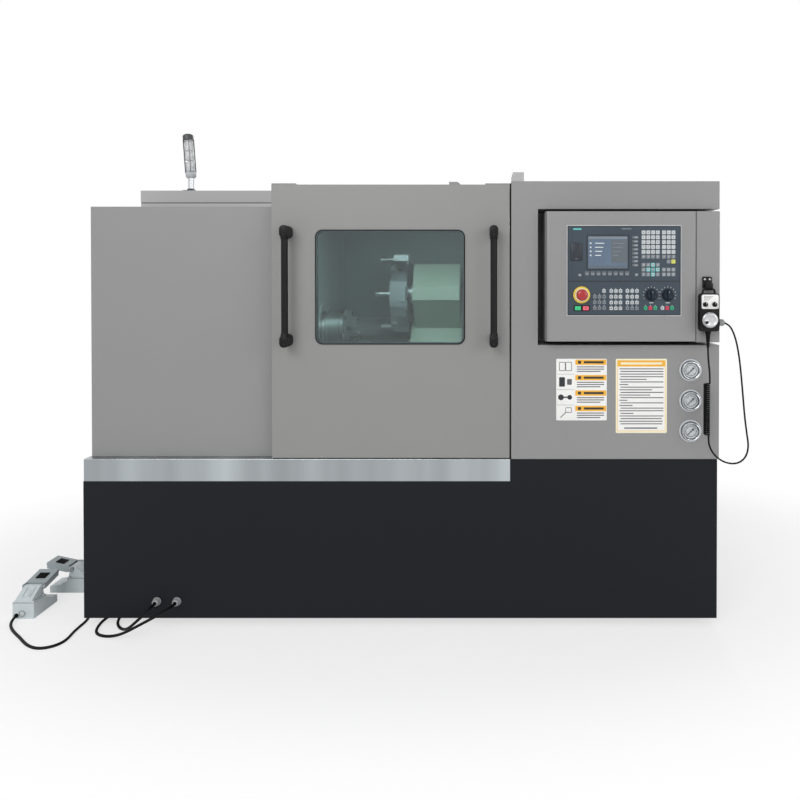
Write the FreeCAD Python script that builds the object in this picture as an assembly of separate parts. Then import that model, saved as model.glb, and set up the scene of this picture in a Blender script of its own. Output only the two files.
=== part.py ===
import FreeCAD, Part
import math
import os

# CNC turning lathe: slant bed machine in a sheet metal enclosure with a sliding door.
# Millimetres. +X to the right, -Y towards the operator, +Z up, origin on the floor
# under the middle of the base.

V = FreeCAD.Vector
UP = V(0, 0, 1)
TO_RIGHT = V(1, 0, 0)
TO_BACK = V(0, 1, 0)

# ---------------------------------------------------------------- driving dimensions
BASE_LENGTH = 2400.0
BASE_DEPTH = 1500.0
FLOOR_GAP = 35.0
SHEET = 3.0
PLATE = 8.0

BASE_LEFT = -BASE_LENGTH / 2
BASE_RIGHT = BASE_LENGTH / 2
FRONT = -BASE_DEPTH / 2
BACK = BASE_DEPTH / 2
DECK = 556.0                      # top of the base's long left part
SILL = 640.0                      # top of the gutter band and of the base's right part
DOOR_RIGHT = 414.0
DOOR_WIDTH = 900.0
DOOR_LEFT = DOOR_RIGHT - DOOR_WIDTH
DOOR_TOP = 1678.0
DOOR_FRONT = FRONT + 5.0
DOOR_THICK = 28.0

COVER_LEFT = BASE_LEFT + 13.0     # headstock cover
COVER_FRONT = FRONT + 38.0
COVER_TOP = 1598.0
REAR_FRONT = -310.0               # front plane of the rear cabinet
LID_TOP = 1708.0
LID_FLANGE = 53.0
CABINET_LEFT = 420.0              # right-hand cabinet
CABINET_RIGHT = 1206.0
CABINET_TOP = 1690.0

RECESS_LEFT = 521.0               # recess that holds the control box
RECESS_LOW = 1072.0
RECESS_HIGH = 1585.0
RECESS_DEPTH = 180.0

BOX_LEFT = 547.0                  # control box
BOX_RIGHT = 1104.0
BOX_LOW = 1089.0
BOX_HIGH = 1573.0
BOX_FRONT = FRONT - 40.0
BOX_DEPTH = 150.0
HINGE_X = 1106.0

PANEL_LEFT = 628.0                # operator panel, upper and lower unit
PANEL_RIGHT = 1047.0
PANEL_TOP = 1518.0
PANEL_SPLIT = 1313.0
PANEL_LOW = 1187.0
PANEL_PROUD = 4.0
PANEL_FACE = BOX_FRONT - PANEL_PROUD

SPINDLE_Y = -150.0
SPINDLE_Z = 1080.0
AXIS_HEIGHT = 250.0               # spindle axis above the slanted bed plane
SLANT = 45.0
BED_LEFT = -1030.0
BED_RIGHT = 880.0
WALL_X = -434.0                   # bulkhead between headstock and working chamber

CHAMBER_RIGHT = 900.0
CHAMBER_BACK = 330.0
CHAMBER_TOP = 1640.0
RUNNING = 0.05                    # radial clearance of shafts in their bores


# ---------------------------------------------------------------- helpers
def inset(span, by):
    return (span[0] + by, span[1] - by)


def block(x, y, z):
    """A box from three (low, high) pairs."""
    return Part.makeBox(x[1] - x[0], y[1] - y[0], z[1] - z[0], V(x[0], y[0], z[0]))


def rod(start, direction, radius, length):
    return Part.makeCylinder(radius, length, V(*start), direction)


def taper(start, direction, radius, end_radius, length):
    return Part.makeCone(radius, end_radius, length, V(*start), direction)


def ring_corners(centre, heading, radius, sides):
    """Corners of a regular outline round a point, square to a heading."""
    across = heading.cross(UP if abs(heading.normalize().z) < 0.9 else TO_RIGHT).normalize()
    up = heading.cross(across).normalize()
    turn = 2 * math.pi / sides
    return [centre + across * radius * math.cos(i * turn) + up * radius * math.sin(i * turn)
            for i in range(sides)]


def closed(corners):
    return Part.makePolygon(corners + corners[:1])


def ring_of(centre, heading, radius, sides):
    return closed(ring_corners(centre, heading, radius, sides))


def hexagon(start, direction, radius, length):
    outline = ring_of(V(*start), V(direction), radius, 6)
    return Part.Face(outline).extrude(V(direction) * length)


def fluted(start, direction, radius, end_radius, length, sides):
    """A straight or tapered body of flat sides, such as a knob's grip."""
    near = ring_corners(V(*start), V(direction), radius, sides)
    far = ring_corners(V(*start) + direction * length, V(direction), end_radius, sides)
    faces = [Part.Face(closed(near)), Part.Face(closed(far))]
    for i in range(sides):
        j = (i + 1) % sides
        faces.append(Part.Face(closed([near[i], near[j], far[j], far[i]])))
    body = Part.Solid(Part.Shell(faces))
    return body if body.Volume > 0 else body.reversed()


def prism(points, travel):
    """A straight-sided outline, closed and pushed along a vector."""
    return Part.Face(closed([V(*p) for p in points])).extrude(travel)


def profile_along_x(points, x):
    return prism([(x[0], y, z) for y, z in points], V(x[1] - x[0], 0, 0))


def profile_along_y(points, y):
    return prism([(x, y[0], z) for x, z in points], V(0, y[1] - y[0], 0))


def rounded_slab(x, y, z, radius):
    """A box whose four edges along Y are rounded."""
    slab = block(x, y, z)
    edges = [e for e in slab.Edges if abs(e.tangentAt(e.FirstParameter).y) > 0.99]
    return slab.makeFillet(radius, edges)


def join(first, *others):
    return first.multiFuse(list(others)).removeSplitter() if others else first


def tilted(shape):
    """From the slanted bed's frame (x, up the slope, off the slope) to the machine's."""
    run = math.radians(SLANT)
    shape = shape.copy()
    shape.rotate(V(0, 0, 0), TO_RIGHT, SLANT)
    shape.translate(V(0, SPINDLE_Y + AXIS_HEIGHT * math.sin(run),
                      SPINDLE_Z - AXIS_HEIGHT * math.cos(run)))
    return shape


def save(name, shape):
    os.makedirs("parts", exist_ok=True)
    shape.exportStep("parts/" + name + ".step")


# ---------------------------------------------------------------- base
FOOT_X = 1000.0
FOOT_Y = 600.0
FOOT_RADIUS = 50.0
FOOT_PAD = 14.0
FOOT_NUT = 18.0
RIM = 150.0                       # width of the base's bottom plate round its openings


def base_cabinet():
    """Welded base: plate box with two floor openings, and a raised curb at its right end."""
    body = block((BASE_LEFT, BASE_RIGHT), (FRONT, BACK), (FLOOR_GAP, DECK))
    low = FLOOR_GAP + PLATE
    body = body.cut(block(inset((BASE_LEFT, BASE_RIGHT), PLATE), inset((FRONT, BACK), PLATE),
                          (low, DECK - PLATE)))
    for left in (BASE_LEFT + RIM * 2, RIM):
        window = (left, left + BASE_RIGHT - RIM * 3)
        body = body.cut(block(window, (FRONT + RIM * 2, BACK - RIM * 2), (0, low + 1)))
    x = (DOOR_RIGHT + 2, BASE_RIGHT)
    curb = block(x, (FRONT, BACK), (DECK, SILL))
    inside = block((x[0] - 1, x[1] - PLATE), inset((FRONT, BACK), PLATE), (DECK - 1, SILL + 1))
    return join(body, curb.cut(inside))


def levelling_feet():
    """Round pads on hexagonal jacking nuts, one of them under the middle of the base."""
    feet = []
    for x, y in [(0, 0)] + [(x, y) for x in (-FOOT_X, 0, FOOT_X) for y in (-FOOT_Y, FOOT_Y)]:
        pad = rod((x, y, 0), UP, FOOT_RADIUS, FOOT_PAD)
        feet.append(join(pad, hexagon((x, y, FOOT_PAD), UP, FOOT_NUT, FLOOR_GAP - FOOT_PAD)))
    return Part.makeCompound(feet)


def gutter_band():
    """Stainless gutter in front of the headstock cover: face, ledge and rear upstand."""
    ledge = COVER_FRONT + 12
    section = [(FRONT, DECK), (FRONT, SILL), (ledge, SILL), (ledge, DECK),
               (ledge - SHEET, DECK), (ledge - SHEET, SILL - SHEET),
               (FRONT + SHEET, SILL - SHEET), (FRONT + SHEET, DECK)]
    x = (BASE_LEFT + SHEET, DOOR_RIGHT + 2)
    cap = block((x[0], x[0] + SHEET), (FRONT + SHEET, ledge - SHEET), (DECK, SILL - SHEET))
    return join(profile_along_x(section, x), cap)


# ---------------------------------------------------------------- enclosure
def headstock_cover():
    """Folded cover over the headstock, open at its back, below and towards the chamber."""
    x = (COVER_LEFT, WALL_X)
    shell = block(x, (COVER_FRONT, REAR_FRONT), (SILL, COVER_TOP))
    shell = shell.cut(block((x[0] + SHEET, x[1] + 1), (COVER_FRONT + SHEET, REAR_FRONT + 1),
                            (SILL - 1, COVER_TOP - SHEET)))
    skirt = block((x[0], x[0] + SHEET), (COVER_FRONT + 12, REAR_FRONT), (DECK, SILL))
    return join(shell, skirt)


def right_cabinet():
    """Hollow cabinet with the recess of the control box, open to the right."""
    outer = block((CABINET_LEFT, CABINET_RIGHT), (FRONT, REAR_FRONT), (SILL, CABINET_TOP))
    inner = block((CABINET_LEFT + SHEET, CABINET_RIGHT - SHEET),
                  (FRONT + SHEET, REAR_FRONT + 1), (SILL - 1, CABINET_TOP - SHEET))
    recess_back = FRONT + RECESS_DEPTH
    pocket = block((RECESS_LEFT - SHEET, CABINET_RIGHT), (FRONT, recess_back + SHEET),
                   (RECESS_LOW - SHEET, RECESS_HIGH + SHEET))
    opening = block((RECESS_LEFT, CABINET_RIGHT + 1), (FRONT - 1, recess_back),
                    (RECESS_LOW, RECESS_HIGH))
    behind_jamb = block((CABINET_LEFT - 1, CABINET_LEFT + SHEET + 1),
                        (recess_back + 40, REAR_FRONT + 1), (SILL - 1, CHAMBER_TOP))
    pan_notch = block((CABINET_LEFT - 1, CABINET_LEFT + SHEET + 1), (COVER_FRONT, REAR_FRONT),
                      (SILL - 1, SILL + 60))
    return join(outer.cut(inner), pocket).cut(opening).cut(behind_jamb).cut(pan_notch)


BAR_PORT = 36.0                   # opening in the left side panel, in line with the spindle
BAR_PORT_RING = 54.0
RING_THICK = 4.0


def rear_sides():
    """Two folded side panels of the rear cabinet; the left one has the bar stock's opening."""
    low_z, high_z = (DECK, SILL), LID_TOP - LID_FLANGE
    lip = 30.0
    left = block((COVER_LEFT - SHEET, COVER_LEFT), (REAR_FRONT, BACK), (low_z[0], high_z))
    left_lip = block((COVER_LEFT - SHEET, COVER_LEFT + lip), (REAR_FRONT, REAR_FRONT + SHEET),
                     (COVER_TOP, high_z))
    ring_x = COVER_LEFT - SHEET - RING_THICK
    ring = rod((ring_x, SPINDLE_Y, SPINDLE_Z), TO_RIGHT, BAR_PORT_RING, RING_THICK)
    port = rod((ring_x - 1, SPINDLE_Y, SPINDLE_Z), TO_RIGHT, BAR_PORT, RING_THICK + SHEET + 2)
    right_x = CABINET_RIGHT - 11
    right = block((right_x - SHEET, right_x), (REAR_FRONT, BACK), (low_z[1], high_z))
    right_lip = block((right_x - lip, right_x), (REAR_FRONT, REAR_FRONT + SHEET),
                      (low_z[1], high_z))
    return Part.makeCompound([join(left, left_lip, ring).cut(port), join(right, right_lip)])


REAR_DOOR_LEFT = 140.0
REAR_DOOR_RIGHT = 1056.0
REAR_DOOR_LOW = 750.0
REAR_DOOR_HIGH = 1570.0
REAR_DOOR_THICK = 22.0
REAR_HINGE_X = REAR_DOOR_RIGHT + 10
REAR_HINGE_Y = BACK + 12
KNUCKLE = 8.0
KNUCKLE_HALF = 20.0
HINGE_LEVELS = (900.0, 1420.0)
LOUVRES = 8
LOUVRE_X = (-1000.0, -560.0)
LOUVRE_LOW = 860.0
LOUVRE_PITCH = 60.0
LOUVRE_HEIGHT = 16.0


def rear_panel():
    """Back sheet with the rear door's opening, louvre slots and the fixed hinge knuckles."""
    right_x = CABINET_RIGHT - 11 - SHEET
    outline = [(COVER_LEFT, DECK), (DOOR_RIGHT + 2, DECK), (DOOR_RIGHT + 2, SILL),
               (right_x, SILL), (right_x, LID_TOP - LID_FLANGE),
               (COVER_LEFT, LID_TOP - LID_FLANGE)]
    panel = profile_along_y(outline, (BACK - SHEET, BACK))
    seat = 20.0
    panel = panel.cut(block((REAR_DOOR_LEFT + seat, REAR_DOOR_RIGHT - seat),
                            (BACK - SHEET - 1, BACK + 1),
                            (REAR_DOOR_LOW + seat, REAR_DOOR_HIGH - seat)))
    for row in range(LOUVRES):
        z = LOUVRE_LOW + row * LOUVRE_PITCH
        panel = panel.cut(block(LOUVRE_X, (BACK - SHEET - 1, BACK + 1), (z, z + LOUVRE_HEIGHT)))
    leaves = []
    for z in HINGE_LEVELS:
        for low in (z - 2 * KNUCKLE_HALF, z + KNUCKLE_HALF + 0.5):
            height = KNUCKLE_HALF - 0.5
            leaves.append(rod((REAR_HINGE_X, REAR_HINGE_Y, low), UP, KNUCKLE, height))
            leaves.append(block((REAR_HINGE_X, REAR_HINGE_X + 22), (BACK, REAR_HINGE_Y),
                                (low, low + height)))
    return join(panel, *leaves)


LATCH_X = REAR_DOOR_LEFT + 45
LATCH_Z = (1100.0, 1230.0)


def rear_door():
    """Cabinet door pan with its hinge knuckles and the latch's body."""
    x, z = (REAR_DOOR_LEFT, REAR_DOOR_RIGHT), (REAR_DOOR_LOW, REAR_DOOR_HIGH)
    face = BACK + 1 + REAR_DOOR_THICK
    pan = block(x, (BACK + 1, face), z)
    pan = pan.cut(block((x[0] + SHEET, x[1] - SHEET), (BACK, face - SHEET),
                        (z[0] + SHEET, z[1] - SHEET)))
    extras = []
    for level in HINGE_LEVELS:
        low = level - KNUCKLE_HALF
        extras.append(rod((REAR_HINGE_X, REAR_HINGE_Y, low), UP, KNUCKLE, 2 * KNUCKLE_HALF))
        extras.append(block((REAR_DOOR_RIGHT - SHEET, REAR_HINGE_X),
                            (REAR_HINGE_Y - 4, REAR_HINGE_Y + 4), (low, low + 2 * KNUCKLE_HALF)))
    extras.append(block((LATCH_X - 12, LATCH_X + 12), (face, face + 18), LATCH_Z))
    return join(pan, *extras)


def rear_lid():
    """Folded lid: flange all round, and a joggled strip above the headstock cover."""
    x = (COVER_LEFT - SHEET, CABINET_RIGHT - 11)
    low = LID_TOP - LID_FLANGE
    lid = block((x[0] - 2, x[1] + 2), (REAR_FRONT, BACK + 2), (low, LID_TOP))
    lid = lid.cut(block((x[0], x[1]), (REAR_FRONT + 2, BACK), (low - 1, LID_TOP - SHEET)))
    strip_x = (COVER_LEFT + 30, WALL_X)
    strip = block(strip_x, (REAR_FRONT, REAR_FRONT + SHEET), (COVER_TOP - SHEET, LID_TOP - SHEET))
    return join(lid, strip)


def chamber_roof():
    """Roof sheet of the working chamber, the door header, its guide rollers and end block."""
    roof = block((WALL_X, CABINET_LEFT), (COVER_FRONT, REAR_FRONT),
                 (CHAMBER_TOP, CHAMBER_TOP + SHEET))
    header = block((DOOR_LEFT + 2, CABINET_LEFT), (COVER_FRONT, COVER_FRONT + 22),
                   (COVER_TOP + 2, CHAMBER_TOP + 12))
    pieces = [header]
    roller_y = DOOR_FRONT + DOOR_THICK / 2
    for x in (DOOR_LEFT + 46, DOOR_LEFT + 186):
        pieces.append(rod((x, roller_y, CHAMBER_TOP), UP, 9.0, 26))
        pieces.append(block((x - 9, x + 9), (roller_y, COVER_FRONT + 1),
                            (CHAMBER_TOP, CHAMBER_TOP + 6)))
    end = [(CABINET_LEFT + 3, CABINET_TOP), (CABINET_LEFT + 48, CABINET_TOP),
           (CABINET_LEFT + 48, CABINET_TOP + 34), (CABINET_LEFT + 7, CABINET_TOP + 34),
           (CABINET_LEFT + 3, CABINET_TOP + 24)]
    block_on_top = profile_along_y(end, (FRONT + 2, FRONT + 110))
    return Part.makeCompound([join(roof, *pieces), block_on_top])


# ---------------------------------------------------------------- working chamber
def bed_point(up_slope, off_slope):
    """(y, z) of a point given in the slanted frame."""
    run = math.radians(SLANT)
    y = SPINDLE_Y + AXIS_HEIGHT * math.sin(run)
    z = SPINDLE_Z - AXIS_HEIGHT * math.cos(run)
    return (y + up_slope * math.cos(run) - off_slope * math.sin(run),
            z + up_slope * math.sin(run) + off_slope * math.cos(run))


BED_LOW_EDGE = -260.0             # up the slope from the foot of the spindle's normal
BED_HIGH_EDGE = 300.0
WAY_CENTRES = (-170.0, 190.0)
WAY_WIDTH = 70.0
WAY_HEIGHT = 30.0
WAY_SPAN = (-400.0, 860.0)
SCREW_UP = 10.0                   # feed screw's place across the bed
SCREW_OFF = 50.0
SCREW_RADIUS = 16.0
JOURNAL = 12.0
SCREW_SPAN = (-398.0, 838.0)
SCREW_BEARINGS = ((-428.0, -400.0), (840.0, 868.0))
RIBS = 4


def slant_bed():
    """Cast bed with two box ways, core windows in its back and the feed screw's bearings."""
    front_y, front_z = bed_point(BED_LOW_EDGE, 0)
    crest_y, crest_z = bed_point(BED_HIGH_EDGE, 0)
    outline = [(front_y, DECK), (front_y, front_z), (crest_y, crest_z),
               (CHAMBER_BACK, crest_z), (CHAMBER_BACK, DECK)]
    bed = profile_along_x(outline, (BED_LEFT, BED_RIGHT))
    wall = 60.0
    core = [(front_y + wall, DECK + 44), (front_y + wall, front_z - 30),
            (crest_y + 26, crest_z - wall), (CHAMBER_BACK + 1, crest_z - wall),
            (CHAMBER_BACK + 1, DECK + 44)]
    bay = (BED_RIGHT - BED_LEFT - wall) / RIBS
    for i in range(RIBS):
        left = BED_LEFT + wall + i * bay
        bed = bed.cut(profile_along_x(core, (left, left + bay - wall)))
    extras = [tilted(block(WAY_SPAN, (c - WAY_WIDTH / 2, c + WAY_WIDTH / 2), (-1, WAY_HEIGHT)))
              for c in WAY_CENTRES]
    for x in SCREW_BEARINGS:
        extras.append(tilted(block(x, (SCREW_UP - 35, SCREW_UP + 35), (-1, SCREW_OFF + 30))))
    bed = join(bed, *extras)
    bore = rod((SCREW_BEARINGS[0][0] - 1, SCREW_UP, SCREW_OFF), TO_RIGHT, JOURNAL + RUNNING,
               SCREW_BEARINGS[1][1] - SCREW_BEARINGS[0][0] + 2)
    return bed.cut(tilted(bore))


def z_ballscrew():
    """Feed screw along the bed, with a journal at each end."""
    left, right = SCREW_BEARINGS[0][0] + 2, SCREW_BEARINGS[1][1] - 2
    screw = rod((SCREW_SPAN[0], SCREW_UP, SCREW_OFF), TO_RIGHT, SCREW_RADIUS,
                SCREW_SPAN[1] - SCREW_SPAN[0])
    journals = rod((left, SCREW_UP, SCREW_OFF), TO_RIGHT, JOURNAL, right - left)
    return tilted(join(screw, journals))


def spindle_bulkhead():
    """Left wall of the chamber; its lower edge follows the slanted bed."""
    gap = 2.0
    front_y, front_z = bed_point(BED_LOW_EDGE, 0)
    crest_y, crest_z = bed_point(BED_HIGH_EDGE, 0)
    pan_z = SILL + 5
    edge = COVER_FRONT + 23
    outline = [(edge, pan_z), (front_y - gap, pan_z), (front_y - gap, front_z + gap),
               (crest_y - gap, crest_z + gap), (CHAMBER_BACK, crest_z + gap),
               (CHAMBER_BACK, CHAMBER_TOP), (edge, CHAMBER_TOP)]
    wall = profile_along_x(outline, (WALL_X, WALL_X + 4))
    return wall.cut(rod((WALL_X - 1, SPINDLE_Y, SPINDLE_Z), TO_RIGHT, 90.0, 6))


def chip_pan():
    """Sloping floor sheet that sheds chips and coolant forwards."""
    front_y, _ = bed_point(BED_LOW_EDGE, 0)
    low = SILL + 1
    section = [(COVER_FRONT + 22, low), (COVER_FRONT + 22, low + 4), (front_y - 2, low + 54),
               (front_y - 2, low + 50)]
    return profile_along_x(section, (WALL_X + 5, CHAMBER_RIGHT - 5))


def chamber_back():
    """Rear lining of the chamber, stiffened by four ribs."""
    _, crest_z = bed_point(BED_HIGH_EDGE, 0)
    wall = block((WALL_X, CHAMBER_RIGHT), (CHAMBER_BACK, CHAMBER_BACK + 4),
                 (crest_z - 20, CHAMBER_TOP))
    ribs = [block((x, x + 4), (CHAMBER_BACK + 4, CHAMBER_BACK + 24), (crest_z + 20, CHAMBER_TOP))
            for x in (-200.0, 100.0, 400.0, 700.0)]
    return join(wall, *ribs)


def chamber_right_wall():
    """Right-hand lining of the chamber."""
    return block((CHAMBER_RIGHT, CHAMBER_RIGHT + 4), (FRONT + RECESS_DEPTH + 10, CHAMBER_BACK),
                 (SILL, CHAMBER_TOP))


# ---------------------------------------------------------------- headstock and chuck
HEAD_SPAN = (-1000.0, -450.0)
SHAFT = 60.0
BAR_BORE = 34.0
PULLEY_SPAN = (-1092.0, -1052.0)
SPINDLE_PULLEY = 95.0
MOTOR_PULLEY = 60.0
MOTOR_SHAFT = 19.0
PULLEY_RIM = 4.0
MOTOR_Y = 450.0
MOTOR_Z = 1000.0
CHUCK_RADIUS = 105.0
CHUCK_SPAN = (-400.0, -320.0)
JAW_FRONT = -270.0
JAW_BORE = 28.0
JAW_OUTER = 95.0
JAW_WIDTH = 30.0
JAW_KEY = 20.0
JAW_KEY_DEPTH = 12.0


def headstock():
    """Cast headstock on the slanted plane, bored for the spindle, with its nose bearing cap."""
    half = 200.0
    corner = 70.0
    top = AXIS_HEIGHT + half
    outline = [(-half, 0), (half, 0), (half, top - corner), (half - corner, top),
               (-half + corner, top), (-half, top - corner)]
    body = tilted(profile_along_x(outline, HEAD_SPAN))
    flange = rod((HEAD_SPAN[1] - 1, SPINDLE_Y, SPINDLE_Z), TO_RIGHT, 110.0, 9)
    body = join(body, flange)
    left, right = HEAD_SPAN[0], HEAD_SPAN[1] + 8
    bore = rod((left - 1, SPINDLE_Y, SPINDLE_Z), TO_RIGHT, SHAFT + RUNNING, right - left + 2)
    return body.cut(bore)


def spindle():
    """Hollow spindle with its nose flange and the belt pulley on its tail."""
    start = PULLEY_SPAN[0]
    shaft = rod((start, SPINDLE_Y, SPINDLE_Z), TO_RIGHT, SHAFT, CHUCK_SPAN[0] - start)
    nose = rod((-440.0, SPINDLE_Y, SPINDLE_Z), TO_RIGHT, 82.5, CHUCK_SPAN[0] + 440)
    pulley = flanged_pulley(SPINDLE_Y, SPINDLE_Z, SPINDLE_PULLEY)
    bore = rod((start - 1, SPINDLE_Y, SPINDLE_Z), TO_RIGHT, BAR_BORE, CHUCK_SPAN[0] - start + 2)
    return join(shaft, nose, pulley).cut(bore)


def flanged_pulley(y, z, radius):
    """Flat belt pulley with one rim, on the side of the headstock."""
    start, end = PULLEY_SPAN
    drum = rod((start, y, z), TO_RIGHT, radius, end - start)
    return join(drum, rod((end, y, z), TO_RIGHT, radius + 8, PULLEY_RIM))


def motor_pulley():
    """Belt pulley on the spindle motor's shaft."""
    pulley = flanged_pulley(MOTOR_Y, MOTOR_Z, MOTOR_PULLEY)
    length = PULLEY_SPAN[1] - PULLEY_SPAN[0] + PULLEY_RIM
    return pulley.cut(rod((PULLEY_SPAN[0] - 1, MOTOR_Y, MOTOR_Z), TO_RIGHT,
                          MOTOR_SHAFT + RUNNING, length + 2))


def spindle_motor():
    """Square finned spindle motor with its shaft, end bell and the seat on the bed."""
    left, right, half = -1036.0, -640.0, 100.0
    y, z = MOTOR_Y, MOTOR_Z
    frame = block((left, right), (y - half, y + half), (z - half, z + half))
    long_edges = [e for e in frame.Edges if abs(e.tangentAt(e.FirstParameter).x) > 0.99]
    frame = frame.makeChamfer(24.0, long_edges)
    for i in range(8):
        low = left + 70 + i * 30
        slot = block((low, low + 16), (y - 60, y + 60), (z + half - 12, z + half + 1))
        frame = frame.cut(slot)
    bell = block((right - 1, right + 60), (y - 80, y + 80), (z - 80, z + 80))
    shaft = rod((PULLEY_SPAN[0], y, z), TO_RIGHT, MOTOR_SHAFT, left - PULLEY_SPAN[0] + 1)
    seat = block((left + 40, right - 30), (CHAMBER_BACK, y - half + 1), (z - 70, z + 70))
    return join(frame, bell, shaft, seat)


def belt_outline(radius_a, radius_b, x):
    """Two arcs and two tangent lines round the spindle's and the motor's pulley."""
    a, b = V(x, SPINDLE_Y, SPINDLE_Z), V(x, MOTOR_Y, MOTOR_Z)
    along = b - a
    lean = math.atan2(along.z, along.y)
    wrap = math.acos((radius_a - radius_b) / along.Length)

    def at(centre, radius, angle):
        return centre + V(0, math.cos(angle), math.sin(angle)) * radius

    a_up, a_down = at(a, radius_a, lean + wrap), at(a, radius_a, lean - wrap)
    b_up, b_down = at(b, radius_b, lean + wrap), at(b, radius_b, lean - wrap)
    return Part.Wire([
        Part.LineSegment(a_up, b_up).toShape(),
        Part.Arc(b_up, at(b, radius_b, lean), b_down).toShape(),
        Part.LineSegment(b_down, a_down).toShape(),
        Part.Arc(a_down, at(a, radius_a, lean + math.pi), a_up).toShape()])


BELT_GAP = 0.4
BELT_THICK = 6.0


def drive_belt():
    """Flat belt round both pulleys, just clear of them."""
    x = PULLEY_SPAN[0] + 2
    width = V(PULLEY_SPAN[1] - PULLEY_SPAN[0] - 2 * 2, 0, 0)
    grow = BELT_GAP + BELT_THICK
    outer = Part.Face(belt_outline(SPINDLE_PULLEY + grow, MOTOR_PULLEY + grow, x))
    inner = Part.Face(belt_outline(SPINDLE_PULLEY + BELT_GAP, MOTOR_PULLEY + BELT_GAP, x))
    return outer.extrude(width).cut(inner.extrude(width))


def turned(shape, angle):
    """A copy turned about the spindle axis."""
    shape = shape.copy()
    shape.rotate(V(0, SPINDLE_Y, SPINDLE_Z), TO_RIGHT, angle)
    return shape


def chuck_body():
    """Round chuck with a through bore and three radial slots for the jaws' keys."""
    length = CHUCK_SPAN[1] - CHUCK_SPAN[0]
    body = rod((CHUCK_SPAN[0], SPINDLE_Y, SPINDLE_Z), TO_RIGHT, CHUCK_RADIUS, length)
    body = body.cut(rod((CHUCK_SPAN[0] - 1, SPINDLE_Y, SPINDLE_Z), TO_RIGHT, BAR_BORE,
                        length + 2))
    half = JAW_KEY / 2 + 0.1
    slot = block((CHUCK_SPAN[1] - JAW_KEY_DEPTH - 0.2, CHUCK_SPAN[1] + 1),
                 (SPINDLE_Y - half, SPINDLE_Y + half), (SPINDLE_Z, SPINDLE_Z + CHUCK_RADIUS + 1))
    for i in range(3):
        body = body.cut(turned(slot, 120 * i))
    return body


def chuck_jaw(index):
    """Stepped top jaw with its key in the chuck face, gripping on a bored arc."""
    y, z = SPINDLE_Y, SPINDLE_Z
    face = CHUCK_SPAN[1] + 0.1
    middle = (face + JAW_FRONT) / 2
    half = JAW_WIDTH / 2
    step = block((face, JAW_FRONT), (y - half, y + half), (z, z + JAW_OUTER - 30))
    heel = block((face, middle), (y - half, y + half), (z, z + JAW_OUTER))
    key = block((CHUCK_SPAN[1] - JAW_KEY_DEPTH, middle), (y - JAW_KEY / 2, y + JAW_KEY / 2),
                (z + JAW_BORE + 4, z + JAW_OUTER - 2))
    bore = rod((CHUCK_SPAN[0], y, z), TO_RIGHT, JAW_BORE, 200)
    return turned(join(step, heel, key).cut(bore), 120 * index)


# ---------------------------------------------------------------- saddle, turret, tailstock
SADDLE_SPAN = (-40.0, 220.0)
SADDLE_ACROSS = (-240.0, 260.0)
SADDLE_OFF = (5.0, 95.0)
SLIDE_WAYS = ((-30.0, 0.0), (160.0, 190.0))
SLIDE_WAY_TOP = 110.0
TURRET_UP = 240.0
TURRET_FLAT = 140.0
DISC_SPAN = (-125.0, -45.0)
STATIONS = 8


def over_ways(x, across, off, slack=0.5):
    """A block that rides on the bed ways: grooves over them and a bore for the feed screw."""
    body = block(x, across, off)
    x_cut = (x[0] - 1, x[1] + 1)
    for c in WAY_CENTRES:
        low = max(c - WAY_WIDTH / 2 - slack, across[0] - 1)
        high = min(c + WAY_WIDTH / 2 + slack, across[1] + 1)
        body = body.cut(block(x_cut, (low, high), (off[0] - 1, WAY_HEIGHT + slack)))
    return body.cut(rod((x_cut[0], SCREW_UP, SCREW_OFF), TO_RIGHT, SCREW_RADIUS + 1.5,
                        x_cut[1] - x_cut[0]))


def saddle():
    """Carriage that rides on the bed's ways, with the two ways of the cross slide."""
    body = over_ways(SADDLE_SPAN, SADDLE_ACROSS, SADDLE_OFF)
    ways = [block(x, SADDLE_ACROSS, (SADDLE_OFF[1] - 1, SLIDE_WAY_TOP)) for x in SLIDE_WAYS]
    return tilted(join(body, *ways))


def cross_slide():
    """Cross slide plate with the turret's housing cast on it."""
    plate = block((-40, 205), (-10, 400), (SADDLE_OFF[1] + 1, SLIDE_WAY_TOP + 20))
    for low, high in SLIDE_WAYS:
        plate = plate.cut(block((low - 1, high + 1), (-11, 401),
                                (SADDLE_OFF[1], SLIDE_WAY_TOP + 0.5)))
    low, high, corner = TURRET_UP - 120, TURRET_UP + 120, 40.0
    foot, top = SLIDE_WAY_TOP + 19, AXIS_HEIGHT + 120
    outline = [(low, foot), (high, foot), (high, top - corner), (high - corner, top),
               (low + corner, top), (low, top - corner)]
    housing = profile_along_x(outline, (-20, 200))
    bore = rod((-21, TURRET_UP, AXIS_HEIGHT), TO_RIGHT, 50 + RUNNING, 82)
    return tilted(join(plate, housing).cut(bore))


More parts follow.
